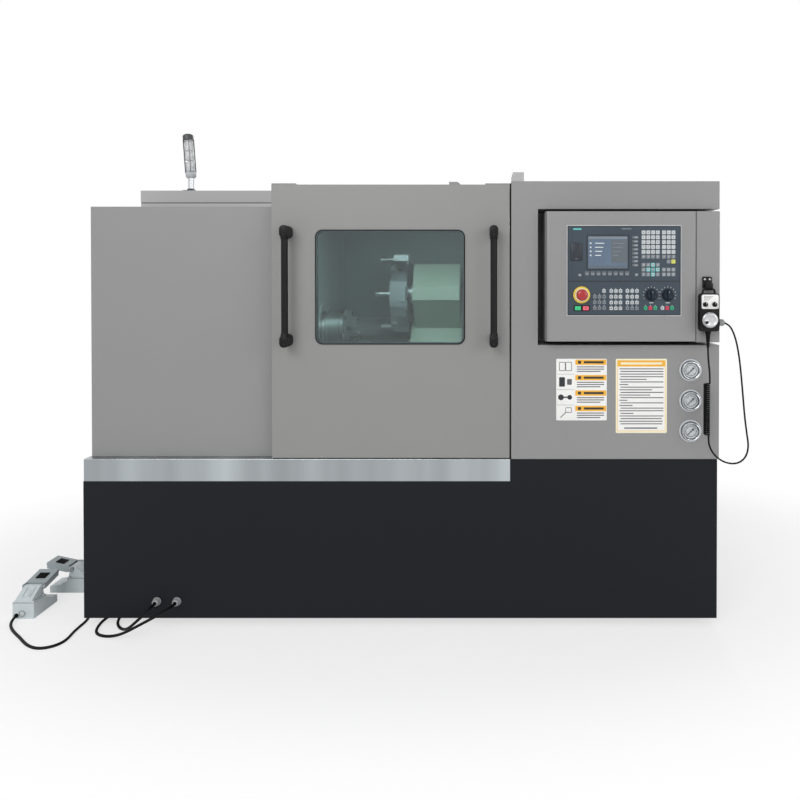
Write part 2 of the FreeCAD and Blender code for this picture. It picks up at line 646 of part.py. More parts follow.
def turret_disc():
    """Eight-sided tool disc with a holder on each flat: turning tools and boring bars."""
    corner = TURRET_FLAT / math.cos(math.pi / STATIONS)
    angles = [(i + 0.5) * 2 * math.pi / STATIONS for i in range(STATIONS)]
    outline = [(TURRET_UP + corner * math.cos(a), AXIS_HEIGHT + corner * math.sin(a))
               for a in angles]
    disc = profile_along_x(outline, DISC_SPAN)
    shaft = rod((DISC_SPAN[1], TURRET_UP, AXIS_HEIGHT), TO_RIGHT, 50.0, 80)
    hub = rod((DISC_SPAN[0] - 12, TURRET_UP, AXIS_HEIGHT), TO_RIGHT, 60.0, 13)
    pieces = [shaft, hub]
    edge = TURRET_UP - TURRET_FLAT
    for i in range(STATIONS):
        holder = block((DISC_SPAN[0] + 4, DISC_SPAN[1] - 4), (edge - 45, edge + 1),
                       (AXIS_HEIGHT - 34, AXIS_HEIGHT + 34))
        if i % 2:
            tool = rod((DISC_SPAN[0] - 60, edge - 24, AXIS_HEIGHT), TO_RIGHT, 13.0, 70)
        else:
            tool = block((DISC_SPAN[0] + 10, DISC_SPAN[0] + 32), (edge - 60, edge - 40),
                         (AXIS_HEIGHT - 20, AXIS_HEIGHT))
        for piece in (holder, tool):
            piece.rotate(V(0, TURRET_UP, AXIS_HEIGHT), TO_RIGHT, i * 360.0 / STATIONS)
            pieces.append(piece)
    return tilted(join(disc, *pieces))


TAIL_SPAN = (560.0, 760.0)
QUILL = 38.0
QUILL_SPAN = (470.0, 740.0)
CENTRE_TIP = 430.0


def tailstock_body():
    """Tailstock foot on the ways, its column and the barrel that holds the quill."""
    foot = over_ways(TAIL_SPAN, (-215, 235), (5, 70))
    web = [(-150, 69), (150, 69), (58, AXIS_HEIGHT), (-58, AXIS_HEIGHT)]
    column = profile_along_x(web, TAIL_SPAN)
    barrel = rod((TAIL_SPAN[0] - 20, 0, AXIS_HEIGHT), TO_RIGHT, 62.0,
                 TAIL_SPAN[1] - TAIL_SPAN[0] + 20)
    bore = rod((TAIL_SPAN[0] - 21, 0, AXIS_HEIGHT), TO_RIGHT, QUILL + RUNNING,
               QUILL_SPAN[1] - TAIL_SPAN[0] + 26)
    return tilted(join(foot, column, barrel).cut(bore))


def tailstock_quill():
    """Quill with a live centre in its nose."""
    quill = rod((QUILL_SPAN[0], 0, AXIS_HEIGHT), TO_RIGHT, QUILL, QUILL_SPAN[1] - QUILL_SPAN[0])
    centre = taper((CENTRE_TIP, 0, AXIS_HEIGHT), TO_RIGHT, 1.5, 24.6, QUILL_SPAN[0] - CENTRE_TIP)
    return tilted(join(quill, centre))


# ---------------------------------------------------------------- sliding door
WINDOW_X = (-321.0, 246.0)
WINDOW_Z = (1073.0, 1508.0)
WINDOW_CORNER = 28.0
SEAL_WIDTH = 8.0
GLASS_THICK = 6.0
HANDLE_X = (-421.0, 354.0)
HANDLE_Z = (1068.0, 1520.0)
HANDLE_RADIUS = 12.5
HANDLE_STANDOFF = 55.0
HANDLE_FOOT = 46.0


def door_panel():
    """Folded door pan with a collar round its window, two stiffeners and the top's trim."""
    x, z = (DOOR_LEFT, DOOR_RIGHT), (SILL + 3, DOOR_TOP)
    back = DOOR_FRONT + DOOR_THICK
    pan = block(x, (DOOR_FRONT, back), z)
    pan = pan.cut(block(inset(x, SHEET), (DOOR_FRONT + SHEET, back + 1), inset(z, SHEET)))
    collar = block(inset(WINDOW_X, -14), (DOOR_FRONT + 1, back - 8), inset(WINDOW_Z, -14))
    ribs = [block((c - 12, c + 12), (DOOR_FRONT + 1, back - 4), (z[0] + 1, CHAMBER_TOP - 20))
            for c in (WINDOW_X[0] - 60, WINDOW_X[1] + 60)]
    tabs = [block((left, left + 92), (DOOR_FRONT + 2, back), (DOOR_TOP - 1, DOOR_TOP + 5))
            for left in (DOOR_LEFT, DOOR_RIGHT - 92)]
    striker = profile_along_y([(185, DOOR_TOP - 1), (231, DOOR_TOP - 1), (218, DOOR_TOP + 11),
                               (185, DOOR_TOP + 11)], (DOOR_FRONT + 4, DOOR_FRONT + 24))
    door = join(pan, collar, striker, *ribs, *tabs)
    hole = rounded_slab(WINDOW_X, (DOOR_FRONT - 1, back + 1), WINDOW_Z, WINDOW_CORNER)
    return door.cut(hole)


def window_glass():
    """Safety glass, held in the seal's groove."""
    edge = 4.0
    y = DOOR_FRONT + 4
    return rounded_slab(inset(WINDOW_X, edge), (y, y + GLASS_THICK), inset(WINDOW_Z, edge),
                        WINDOW_CORNER - edge)


def window_seal():
    """Rubber profile between the door's cut-out and the glass, which it holds in a groove."""
    y = (DOOR_FRONT - 1.5, DOOR_FRONT + 14)
    ring = rounded_slab(WINDOW_X, y, WINDOW_Z, WINDOW_CORNER)
    through = rounded_slab(inset(WINDOW_X, SEAL_WIDTH), (y[0] - 1, y[1] + 1),
                           inset(WINDOW_Z, SEAL_WIDTH), WINDOW_CORNER - SEAL_WIDTH)
    return ring.cut(through).cut(window_glass())


def door_handle(x):
    """Upright tube between two moulded end brackets."""
    y = DOOR_FRONT - HANDLE_STANDOFF
    bar = rod((x, y, HANDLE_Z[0] + 10), UP, HANDLE_RADIUS, HANDLE_Z[1] - HANDLE_Z[0] - 20)
    pieces = []
    for end, inward in ((HANDLE_Z[0], 1), (HANDLE_Z[1], -1)):
        low, high = sorted((end, end + inward * HANDLE_FOOT))
        cheek = HANDLE_RADIUS + 4
        bracket = block((x - cheek, x + cheek), (y, DOOR_FRONT), (low, high))
        head = rod((x, y, low), UP, cheek, HANDLE_FOOT)
        pieces += [bracket, head]
    return join(bar, *pieces)


def door_handles():
    return Part.makeCompound([door_handle(x) for x in HANDLE_X])


# ---------------------------------------------------------------- control box and panels
def control_box():
    """Swinging control box: rounded front edge, hollow, with a cut-out for the two panels."""
    y = (BOX_FRONT, BOX_FRONT + BOX_DEPTH)
    box = block((BOX_LEFT, BOX_RIGHT), y, (BOX_LOW, BOX_HIGH))
    left_front = [e for e in box.Edges
                  if all(abs(v.X - BOX_LEFT) < 1e-6 and abs(v.Y - BOX_FRONT) < 1e-6
                         for v in e.Vertexes)]
    box = box.makeFillet(12.0, left_front)
    box = box.cut(block(inset((BOX_LEFT, BOX_RIGHT), SHEET), inset(y, SHEET),
                        inset((BOX_LOW, BOX_HIGH), SHEET)))
    return box.cut(block(inset((PANEL_LEFT, PANEL_RIGHT), 12), (BOX_FRONT - 1, BOX_FRONT + 9),
                         inset((PANEL_LOW, PANEL_TOP), 12)))


KEY = 14.0
KEY_PROUD = 1.2


def key_at(x, z, width=KEY, height=KEY):
    """One membrane key, raised a little off its panel."""
    return block((x - width / 2, x + width / 2), (PANEL_FACE - KEY_PROUD, PANEL_FACE + 1),
                 (z - height / 2, z + height / 2))


def key_grid(left, top, columns, rows, pitch_x, pitch_z, width=KEY, height=KEY):
    return [key_at(left + c * pitch_x, top - r * pitch_z, width, height)
            for c in range(columns) for r in range(rows)]


def panel_blank(z):
    """Flange on the box's face and a body through its cut-out."""
    flange = block((PANEL_LEFT, PANEL_RIGHT), (PANEL_FACE, BOX_FRONT), z)
    low = z[0] + 12 if z[0] == PANEL_LOW else z[0]
    high = z[1] - 12 if z[1] == PANEL_TOP else z[1]
    body = block(inset((PANEL_LEFT, PANEL_RIGHT), 12), (BOX_FRONT, BOX_FRONT + 30), (low, high))
    return join(flange, body)


LETTER_LEFT = PANEL_LEFT + 281.0
LETTER_TOP = PANEL_TOP - 24.0
LETTER_PITCH = 17.5
NUMBER_LEFT = PANEL_LEFT + 356.5


def display_panel():
    """Upper unit: screen, soft keys beside and under it, letter, number and cursor keys."""
    keys = key_grid(LETTER_LEFT, LETTER_TOP, 4, 6, LETTER_PITCH, 18.0)
    keys += key_grid(NUMBER_LEFT, LETTER_TOP, 3, 6, LETTER_PITCH, 18.0)
    keys += key_grid(LETTER_LEFT, PANEL_TOP - 144.0, 4, 3, LETTER_PITCH, 17.8)
    keys += key_grid(NUMBER_LEFT, PANEL_TOP - 161.8, 3, 2, LETTER_PITCH, 17.8)
    keys += key_grid(NUMBER_LEFT + LETTER_PITCH, PANEL_TOP - 132.0, 2, 1, LETTER_PITCH, 18.0)
    keys += key_grid(PANEL_LEFT + 71.5, PANEL_TOP - 176.0, 8, 1, 21.2, 18.0, 15.5, 15.5)
    keys += key_grid(PANEL_LEFT + 250.0, PANEL_TOP - 42.5, 1, 8, 18.0, 14.7, 22.0, 10.5)
    keys += [key_at(PANEL_LEFT + 45.0, PANEL_TOP - 182.0, 11, 9),
             key_at(PANEL_LEFT + 255.0, PANEL_TOP - 181.0, 12, 10)]
    panel = join(panel_blank((PANEL_SPLIT + 0.5, PANEL_TOP)), *keys)
    screen = block((PANEL_LEFT + 73, PANEL_LEFT + 225), (PANEL_FACE - 1, PANEL_FACE + 1.5),
                   (PANEL_TOP - 160, PANEL_TOP - 35))
    port_door = block((PANEL_LEFT + 11, PANEL_LEFT + 53), (PANEL_FACE - 1.5, PANEL_FACE + 1),
                      (PANEL_TOP - 128, PANEL_TOP - 64))
    return join(panel.cut(screen), port_door)


ESTOP = (PANEL_LEFT + 51.5, PANEL_LOW + 75.5)
START = (PANEL_LEFT + 37.5, PANEL_LOW + 26.0)
STOP = (PANEL_LEFT + 67.0, PANEL_LOW + 26.0)
BUTTON = (22.0, 15.5)
FEED_KNOB = (PANEL_LEFT + 310.5, PANEL_LOW + 75.5)
SPINDLE_KNOB = (PANEL_LEFT + 371.5, PANEL_LOW + 75.5)
ESTOP_COLLAR = 30.5
KEYS_TOP = PANEL_LOW + 90.0


def machine_panel():
    """Lower unit: emergency stop collar, two button wells, key groups, two knob seats."""
    keys = key_grid(PANEL_LEFT + 100.5, PANEL_LOW + 68.5, 3, 3, 17.4, 21.0, 12.4, 12.4)
    keys.append(key_at(PANEL_LEFT + 134.5, KEYS_TOP, 12.4, 12.4))
    keys += key_grid(PANEL_LEFT + 161.5, KEYS_TOP, 3, 4, 17.1, 21.5, 12.4, 12.4)
    keys += key_grid(PANEL_LEFT + 221.5, KEYS_TOP, 3, 4, 17.6, 21.5, 12.4, 12.4)
    keys += key_grid(PANEL_LEFT + 289.0, PANEL_LOW + 26.5, 3, 1, 17.8, 18.0, 12.0, 12.4)
    keys += key_grid(PANEL_LEFT + 351.5, PANEL_LOW + 26.5, 3, 1, 17.8, 18.0, 12.0, 12.4)
    collar = rod((ESTOP[0], PANEL_FACE - 5, ESTOP[1]), TO_BACK, ESTOP_COLLAR, 6)
    panel = join(panel_blank((PANEL_LOW, PANEL_SPLIT - 0.5)), collar, *keys)
    panel = panel.cut(rod((ESTOP[0], PANEL_FACE - 6, ESTOP[1]), TO_BACK, 11.0 + RUNNING, 16))
    for x, z in (START, STOP):
        well = block((x - BUTTON[0] / 2 - 0.3, x + BUTTON[0] / 2 + 0.3),
                     (PANEL_FACE - 1, PANEL_FACE + 6.8),
                     (z - BUTTON[1] / 2 - 0.3, z + BUTTON[1] / 2 + 0.3))
        panel = panel.cut(well)
    for x, z in (FEED_KNOB, SPINDLE_KNOB):
        panel = panel.cut(rod((x, PANEL_FACE - 1, z), TO_BACK, 3 + RUNNING, 10))
    return panel


MUSHROOM_SIDES = 32


def estop_button():
    """Mushroom head: stem and a flared cap."""
    x, z = ESTOP
    head = PANEL_FACE - 18
    stem = rod((x, head, z), TO_BACK, 11.0, 17)
    cap = fluted((x, head - 8, z), TO_BACK, 15.0, 20.0, 9, MUSHROOM_SIDES)
    return join(stem, cap)


def push_button(place):
    """Rectangular push button that stands a little proud of its well."""
    x, z = place
    return block((x - BUTTON[0] / 2, x + BUTTON[0] / 2), (PANEL_FACE - 3.5, PANEL_FACE + 3),
                 (z - BUTTON[1] / 2, z + BUTTON[1] / 2))


KNOB_FLUTES = 24


def override_knob(place):
    """Rotary knob: tapered body, a raised grip bar across it, and its shaft."""
    x, z = place
    face = PANEL_FACE - 0.3
    body = fluted((x, face - 16, z), TO_BACK, 17.0, 21.5, 16, KNOB_FLUTES)
    grip = block((x - 4, x + 4), (face - 24, face - 15), (z - 16.5, z + 16.5))
    shaft = rod((x, face - 1, z), TO_BACK, 3.0, 8)
    return join(body, grip, shaft)


# ---------------------------------------------------------------- post and pendant
POST_X = (HINGE_X + 2, HINGE_X + 90)
POST_FRONT = BOX_FRONT + 5
POST_Z = (RECESS_LOW + 13, RECESS_HIGH - 11)
PENDANT_X = (1112.0, 1182.0)
PENDANT_Z = (1129.0, 1268.0)
PENDANT_FRONT = POST_FRONT - 40
PENDANT_BACK = POST_FRONT - 6
WHEEL = (1146.0, 1171.0)
WHEEL_RADIUS = 29.5
WHEEL_FLUTES = 36
KNOBS = ((1129.0, 1228.0), (1163.0, 1228.0))
RELIEF = 60.0                     # length of the pendant's strain relief
RELIEF_X = 1145.0
RELIEF_SIDES = 12
HOLDER_X = (1130.0, 1164.0)
HOLDER_Z = (1276.0, 1330.0)
CORD_X = 1141.0                   # axis of the curly part
CORD_Y = (PENDANT_FRONT + PENDANT_BACK) / 2


def hinge_post():
    """Upright hollow post that stands off the recess's back and carries the control box."""
    y = (POST_FRONT, FRONT + RECESS_DEPTH)
    post = block(POST_X, y, POST_Z)
    return post.cut(block(inset(POST_X, SHEET), (y[0] + SHEET, y[1] + 1), inset(POST_Z, SHEET)))


def pendant_holder():
    """Back plate on the post and the upturned hook that the pendant's bail hangs on."""
    y = POST_FRONT
    plate = block(HOLDER_X, (y - 6, y), (HOLDER_Z[0] + 14, HOLDER_Z[1]))
    arm = block((HOLDER_X[0] + 4, HOLDER_X[1] - 4), (y - 34, y), (HOLDER_Z[0] + 10, HOLDER_Z[0] + 16))
    lip = block((HOLDER_X[0] + 4, HOLDER_X[1] - 4), (y - 34, y - 30), (HOLDER_Z[0] + 10, HOLDER_Z[0] + 30))
    screws = [hexagon((x, y - 8, HOLDER_Z[1] - 10), TO_BACK, 4.0, 3)
              for x in (HOLDER_X[0] + 8, HOLDER_X[1] - 8)]
    return join(plate, arm, lip, *screws)


def pendant_body():
    """Hand-wheel pendant: moulded case, face plate, bail and tapered strain relief."""
    y = (PENDANT_FRONT, PENDANT_BACK)
    case = block(PENDANT_X, y, PENDANT_Z)
    case = case.makeChamfer(5.0, [e for e in case.Edges
                                  if abs(e.tangentAt(e.FirstParameter).y) > 0.99])
    plate = block(inset(PENDANT_X, 4), (y[0] - 1, y[0] + 1), (PENDANT_Z[1] - 56, PENDANT_Z[1] - 4))
    bail_x = (HOLDER_X[0] - 9, HOLDER_X[1] + 9)
    bail = block(bail_x, (CORD_Y - 4, CORD_Y + 4), (PENDANT_Z[1] - 2, HOLDER_Z[0] + 9.8))
    bail = bail.cut(block(inset(bail_x, 6), (CORD_Y - 5, CORD_Y + 5),
                          (PENDANT_Z[1] - 3, HOLDER_Z[0] + 3)))
    relief = fluted((RELIEF_X, CORD_Y, PENDANT_Z[0] - RELIEF), UP, 5.0, 9.0, RELIEF + 1,
                    RELIEF_SIDES)
    return join(case, plate, bail, relief)


def pendant_wheel():
    """Pulse wheel: skirt, knurled rim and the small spinner on its face."""
    x, z = WHEEL
    face = PENDANT_FRONT - 0.3
    skirt = rod((x, face - 4, z), TO_BACK, WHEEL_RADIUS, 4)
    rim = fluted((x, face - 15, z), TO_BACK, WHEEL_RADIUS - 2, WHEEL_RADIUS - 1, 12, WHEEL_FLUTES)
    spinner = hexagon((x - 17, face - 26, z - 8), TO_BACK, 5.5, 12)
    return join(skirt, rim, spinner)


def pendant_knob(place):
    """Selector knob with a pointer rib."""
    x, z = place
    face = PENDANT_FRONT - 1.3
    body = rod((x, face - 12, z), TO_BACK, 8.0, 12)
    return join(body, block((x - 1.5, x + 1.5), (face - 14, face - 11), (z - 7, z + 7)))


# ---------------------------------------------------------------- fittings
TOWER = (-995.0, -250.0)
TOWER_LEAN = -4.0
STEM_TOP = LID_TOP + 63
GAUGE_X = 1097.0
GAUGE_Z = (977.0, 861.5, 747.0)
GLAND_X = (-922.0, -846.0)
GLAND_Z = 100.0
POST_GLAND = (POST_FRONT + 14, 1158.0)
GLAND_TIP = 20.0


def tower_foot():
    """Square foot plate on the lid and the slim stem that carries the lamp."""
    x, y = TOWER
    plate = block((x - 28, x + 28), (y - 28, y + 28), (LID_TOP, LID_TOP + 6))
    return join(plate, rod((x, y, LID_TOP + 5), UP, 13.0, STEM_TOP - LID_TOP - 5))


def tower_lens():
    """Clear lamp column with a shallow cap, leaning a little."""
    x, y = TOWER
    base = STEM_TOP
    lens = join(rod((x, y, base - 3), UP, 23.5, 187), taper((x, y, base + 183), UP, 23.5, 17.0, 12))
    lens.rotate(V(x, y, base), TO_BACK, TOWER_LEAN)
    return lens.cut(block((x - 60, x + 60), (y - 60, y + 60), (base - 20, base)))


GAUGE_FLANGE = 42.0
GAUGE_BEZEL = 34.0
GAUGE_DIAL = 30.0
NEEDLE_TURN = 220.0               # clockwise from the top: at rest the pointer is low on the left
NEEDLE_TAIL = 11.0


def pressure_gauge(z):
    """Panel gauge: flange, bezel, a dial sunk in it and a needle with a round tail."""
    flange = rod((GAUGE_X, FRONT - SHEET, z), TO_BACK, GAUGE_FLANGE, SHEET)
    bezel = rod((GAUGE_X, FRONT - 16, z), TO_BACK, GAUGE_BEZEL, 14)
    well = rod((GAUGE_X, FRONT - 17, z), TO_BACK, GAUGE_DIAL, 8)
    pointer = block((GAUGE_X - 1.5, GAUGE_X + 1.5), (FRONT - 11, FRONT - 8),
                    (z - NEEDLE_TAIL, z + 22))
    tail = rod((GAUGE_X, FRONT - 11, z - NEEDLE_TAIL), TO_BACK, 3.5, 3)
    needle = join(pointer, tail)
    needle.rotate(V(GAUGE_X, 0, z), TO_BACK, NEEDLE_TURN)
    return join(join(flange, bezel).cut(well), needle)


def pressure_gauges():
    return Part.makeCompound([pressure_gauge(z) for z in GAUGE_Z])


def gland(start, direction):
    """Hexagonal cable gland and its narrower sealing nut."""
    nut = hexagon(start, direction, 14.0, 9.0)
    return join(nut, hexagon(tuple(V(*start) + direction * 8), direction, 10.0, GLAND_TIP - 8))


def cable_glands():
    glands = [gland((x, FRONT, GLAND_Z), V(0, -1, 0)) for x in GLAND_X]
    glands.append(gland((POST_X[1], POST_GLAND[0], POST_GLAND[1]), TO_RIGHT))
    return Part.makeCompound(glands)


# ---------------------------------------------------------------- foot pedals
PEDAL_WIDTH = 83.0
PEDAL_LENGTH = 150.0
PEDAL_BOX_LENGTH = 78.0
PEDAL_BOX_HEIGHT = 62.0
PEDAL_ENTRY = (19.0, 15.0)        # cable entry in the pedal's own frame (x, z)
TREADLE_HINGE = (64.0, 100.0)     # (y, z)
COVER_INSET = 9.0
PIN_RADIUS = 5.0
FRONT_PEDAL = (-1516.0, -681.0, 0.0)
REAR_PEDAL = (-1360.0, -455.0, 90.0)


def placed(shape, place):
    """From a pedal's own frame, cable end at y = 0, to its place on the floor."""
    shape = shape.copy()
    shape.rotate(V(0, 0, 0), UP, place[2])
    shape.translate(V(place[0], place[1], 0))
    return shape


def pedal_housing():
    """Cast pedal base: switch box, sloping ribbed cover with hinge pins, low tail, plug."""
    w = PEDAL_WIDTH
    y, z = TREADLE_HINGE
    seam = PEDAL_BOX_HEIGHT
    back = PEDAL_BOX_LENGTH
    box = block((0, w), (0, back), (0, seam))
    cover = profile_along_x([(6, seam - 1), (6, seam + 12), (y - 6, z + 4), (back - 6, z + 4),
                             (back - 6, z - 10), (back, seam - 1)], inset((0, w), COVER_INSET))
    ribs = [profile_along_x([(10, seam), (10, seam + 18), (y - 14, z + 3), (y - 14, seam)],
                            (x, x + 5)) for x in (24.0, w - 29.0)]
    pins = rod((1, y, z), TO_RIGHT, PIN_RADIUS, w - 2)
    tail = profile_along_x([(back - 1, 0), (PEDAL_LENGTH, 0), (PEDAL_LENGTH, 28),
                            (back + 30, 34), (back - 1, 52)], (0, w))
    plug = rod((PEDAL_ENTRY[0] + 20, -4, 22), TO_BACK, 12.0, 5)
    entry = rod((PEDAL_ENTRY[0], -7, PEDAL_ENTRY[1]), TO_BACK, 8.0, 8)
    return join(box, cover, pins, tail, plug, entry, *ribs)


def pedal_treadle():
    """Foot plate tilted up at rest, on two skirts that turn on the cover's pins."""
    y, z = TREADLE_HINGE
    w = PEDAL_WIDTH
    start, far = y + 16, 165.0
    plate = profile_along_x([(start, z - 2), (start, z + 8), (far, z + 26), (far, z + 14)],
                            (2, w - 2))
    arm = [(y - 9, z - 8), (y - 9, z + 8), (start, z + 8), (far - 2, z + 16), (far - 2, z + 2),
           (start, z - 14), (y, z - 12)]
    skirts = [profile_along_x(arm, (x, x + 5)) for x in (2.0, w - 7.0)]
    pins = rod((0, y, z), TO_RIGHT, PIN_RADIUS + RUNNING, w)
    return join(plate, *skirts).cut(pins)


# ---------------------------------------------------------------- cords
CORD_SIDES = 8
COIL_SIDES = 6
PEDAL_CORD = 10.5                 # diameters
PENDANT_CORD = 6.5
COIL_OUTER = 25.0
COIL_TURNS = 26
COIL_TOP = 934.0
COIL_LOW = 746.0
COIL_RADIUS = (COIL_OUTER - PENDANT_CORD) / 2
COIL_PITCH = (COIL_TOP - COIL_LOW) / COIL_TURNS
END_BEND = 8.0                    # bends by which the coil's ends turn upright

FLOOR_LINE = PEDAL_CORD / 2 + 0.5
FRONT_CORD = [
    (GLAND_X[1], FRONT - GLAND_TIP, GLAND_Z), (-847, -796, 100), (-856, -821, 98),
    (-872, -841, 93), (-894, -854, 84), (-921, -860, 71), (-951, -860, 55), (-981, -854, 38),
    (-1009, -844, 23), (-1036, -834, 12), (-1064, -828, FLOOR_LINE), (-1093, -823, FLOOR_LINE),
    (-1118, -808, FLOOR_LINE), (-1135, -783, FLOOR_LINE), (-1145, -748, FLOOR_LINE),
    (-1150, -706, FLOOR_LINE), (-1143, -664, FLOOR_LINE), (-1131, -628, FLOOR_LINE),
    (-1126, -592, FLOOR_LINE), (-1137, -562, FLOOR_LINE), (-1161, -541, FLOOR_LINE),
    (-1193, -536, FLOOR_LINE), (-1223, -547, FLOOR_LINE), (-1244, -571, FLOOR_LINE),
    (-1250, -603, FLOOR_LINE), (-1241, -636, FLOOR_LINE), (-1222, -673, FLOOR_LINE),
    (-1212, -713, FLOOR_LINE), (-1213, -755, FLOOR_LINE), (-1212, -796, FLOOR_LINE),
    (-1206, -835, FLOOR_LINE), (-1207, -867, FLOOR_LINE), (-1222, -893, FLOOR_LINE),
    (-1248, -909, FLOOR_LINE), (-1279, -911, FLOOR_LINE), (-1312, -897, FLOOR_LINE),
    (-1346, -872, FLOOR_LINE), (-1383, -838, FLOOR_LINE), (-1422, -806, FLOOR_LINE),
    (-1457, -774, FLOOR_LINE), (-1482, -744, 8), (-1494, -714, 13),
    (FRONT_PEDAL[0] + PEDAL_ENTRY[0], FRONT_PEDAL[1] - 7, PEDAL_ENTRY[1])]
REAR_CORD = [
    (GLAND_X[0], FRONT - GLAND_TIP, GLAND_Z), (-922, -794, 99), (-929, -816, 92),
    (-943, -832, 78), (-962, -838, 61), (-982, -831, 43), (-1002, -816, 28), (-1023, -797, 16),
    (-1046, -775, 8), (-1069, -750, FLOOR_LINE), (-1088, -719, FLOOR_LINE),
    (-1099, -682, FLOOR_LINE), (-1103, -642, FLOOR_LINE), (-1106, -598, FLOOR_LINE),
    (-1114, -552, FLOOR_LINE), (-1132, -508, FLOOR_LINE), (-1163, -470, FLOOR_LINE),
    (-1205, -444, FLOOR_LINE), (-1253, -431, FLOOR_LINE), (-1297, -429, 9), (-1328, -434, 13.5),
    (REAR_PEDAL[0] + 7, REAR_PEDAL[1] + PEDAL_ENTRY[0], PEDAL_ENTRY[1])]
TAIL_END_X = POST_X[1] + 20
COIL_SIDE = CORD_X + COIL_RADIUS  # where the cord enters and leaves its coil
SLOPE = math.atan(COIL_PITCH / (2 * math.pi * COIL_RADIUS))
COIL_RISE = END_BEND * math.cos(SLOPE) + PENDANT_CORD
COIL_SHIFT = END_BEND * (1 - math.sin(SLOPE))
LEAD_ROUTE = [
    (RELIEF_X, CORD_Y, PENDANT_Z[0] - RELIEF), (RELIEF_X + 0.3, CORD_Y - 0.5, 1040),
    (RELIEF_X + 2, CORD_Y - 3.5, 1008), (RELIEF_X + 4.6, CORD_Y - 6.5, 976),
    (COIL_SIDE, CORD_Y - COIL_SHIFT, COIL_TOP + COIL_RISE)]
TAIL_CORD = [
    (COIL_SIDE, CORD_Y + COIL_SHIFT, COIL_LOW - COIL_RISE), (1151.5, -801, 708),
    (1162, -801.5, 682), (1184, -801, 656), (1219, -798, 637), (1260, -795, 634),
    (1292, -792, 656), (1304, -789, 697), (1297, -786, 748), (1290, -783, 812),
    (1285, -780, 884), (1279, -778, 960), (1272, -776, 1030), (1262, -774, 1088),
    (1248, -772, 1130), (1234, -771, 1150), (TAIL_END_X, POST_GLAND[0], POST_GLAND[1])]


def cord_path(points, name):
    """Straight runs joined by tangent arcs, as large as the two runs beside each allow."""
    corners = [V(*p) for p in points]
    edges, here, radii = [], corners[0], []
    for before, corner, after in zip(corners, corners[1:], corners[2:]):
        back, ahead = before - corner, after - corner
        reach = 0.45 * min(back.Length, ahead.Length)
        back.normalize()
        ahead.normalize()
        turn = math.pi - back.getAngle(ahead)
        radii.append(reach / math.tan(turn / 2))
        start, end = corner + back * reach, corner + ahead * reach
        towards = (back + ahead).normalize()
        middle = corner + towards * (radii[-1] * (1 / math.cos(turn / 2) - 1))
        edges.append(Part.LineSegment(here, start).toShape())
        edges.append(Part.Arc(start, middle, end).toShape())
        here = end
    edges.append(Part.LineSegment(here, corners[-1]).toShape())
    print(name, "radii", [round(r) for r in radii])
    return Part.Wire(edges)


def cord(points, diameter, name):
    """An eight-sided tube along a cord path, checked against its section times its length."""
    path = cord_path(points, name)
    ring = ring_of(V(*points[0]), V(*points[1]) - V(*points[0]), diameter / 2, CORD_SIDES)
    tube = path.makePipeShell([ring], True, False)
    expected = Part.Face(ring).Area * path.Length
    print(name, "length", round(path.Length), "volume ratio",
          round(tube.Volume / expected, 4))
    return tube


def coil_point(turns):
    """A point on the coil's centre line, counted in turns from its top."""
    angle = 2 * math.pi * turns
    return V(CORD_X + COIL_RADIUS * math.cos(angle), CORD_Y + COIL_RADIUS * math.sin(angle),
             COIL_TOP - COIL_PITCH * turns)


def end_bend(tip, side):
    """Straight end and quarter bend from upright into the helix; side is 1 above, -1 below."""
    centre = tip + V(0, math.sin(SLOPE), math.cos(SLOPE)) * END_BEND * side
    upright = centre - V(0, END_BEND * side, 0)
    halfway = centre + ((tip - centre) + (upright - centre)).normalize() * END_BEND
    far = upright + V(0, 0, PENDANT_CORD * side)
    return [Part.LineSegment(far, upright).toShape(), Part.Arc(upright, halfway, tip).toShape()]


def coil_path():
    """Helix of the curly cord as quarter-turn arcs, with bends and straight ends."""
    quarters = 4 * COIL_TURNS
    turns = [Part.Arc(coil_point(i / 4), coil_point((i + 0.5) / 4), coil_point((i + 1) / 4)).toShape()
             for i in range(quarters)]
    leave = end_bend(coil_point(COIL_TURNS), -1)[::-1]
    return Part.Wire(end_bend(coil_point(0), 1) + turns + leave)


GAP_POINTS = 64                   # points per turn on which the coil's gap is measured


def print_least_gap(path):
    """Least gap of the coil to itself, between points half a turn to two turns apart."""
    points = path.discretize(Number=GAP_POINTS * COIL_TURNS)
    half_turn, two_turns = GAP_POINTS // 2, GAP_POINTS * 2
    least = min((a - b).Length for i, a in enumerate(points)
                for b in points[i + half_turn:i + two_turns])
    print("coil least self gap", round(least - PENDANT_CORD, 2))


def pendant_coil():
    """The curly part of the pendant's cord: one unbroken six-sided tube."""
    path = coil_path()
    print_least_gap(path)
    start = V(*LEAD_ROUTE[-1])
    ring = ring_of(start, V(0, 0, -1), PENDANT_CORD / 2, COIL_SIDES)
    return path.makePipeShell([ring], True, False)


# ---------------------------------------------------------------- build
save("base_cabinet", base_cabinet())
save("levelling_feet", levelling_feet())
save("gutter_band", gutter_band())
save("headstock_cover", headstock_cover())
save("right_cabinet", right_cabinet())
save("rear_sides", rear_sides())
save("rear_panel", rear_panel())
save("rear_door", rear_door())
save("rear_lid", rear_lid())
save("chamber_roof", chamber_roof())
save("slant_bed", slant_bed())
save("z_ballscrew", z_ballscrew())
save("spindle_bulkhead", spindle_bulkhead())
save("chip_pan", chip_pan())
save("chamber_back", chamber_back())
save("chamber_right_wall", chamber_right_wall())
save("headstock", headstock())
save("spindle", spindle())
save("motor_pulley", motor_pulley())
save("spindle_motor", spindle_motor())
save("drive_belt", drive_belt())
save("chuck_body", chuck_body())
for number in range(3):
    save("chuck_jaw_" + str(number + 1), chuck_jaw(number))
save("saddle", saddle())
save("cross_slide", cross_slide())
save("turret_disc", turret_disc())
save("tailstock_body", tailstock_body())
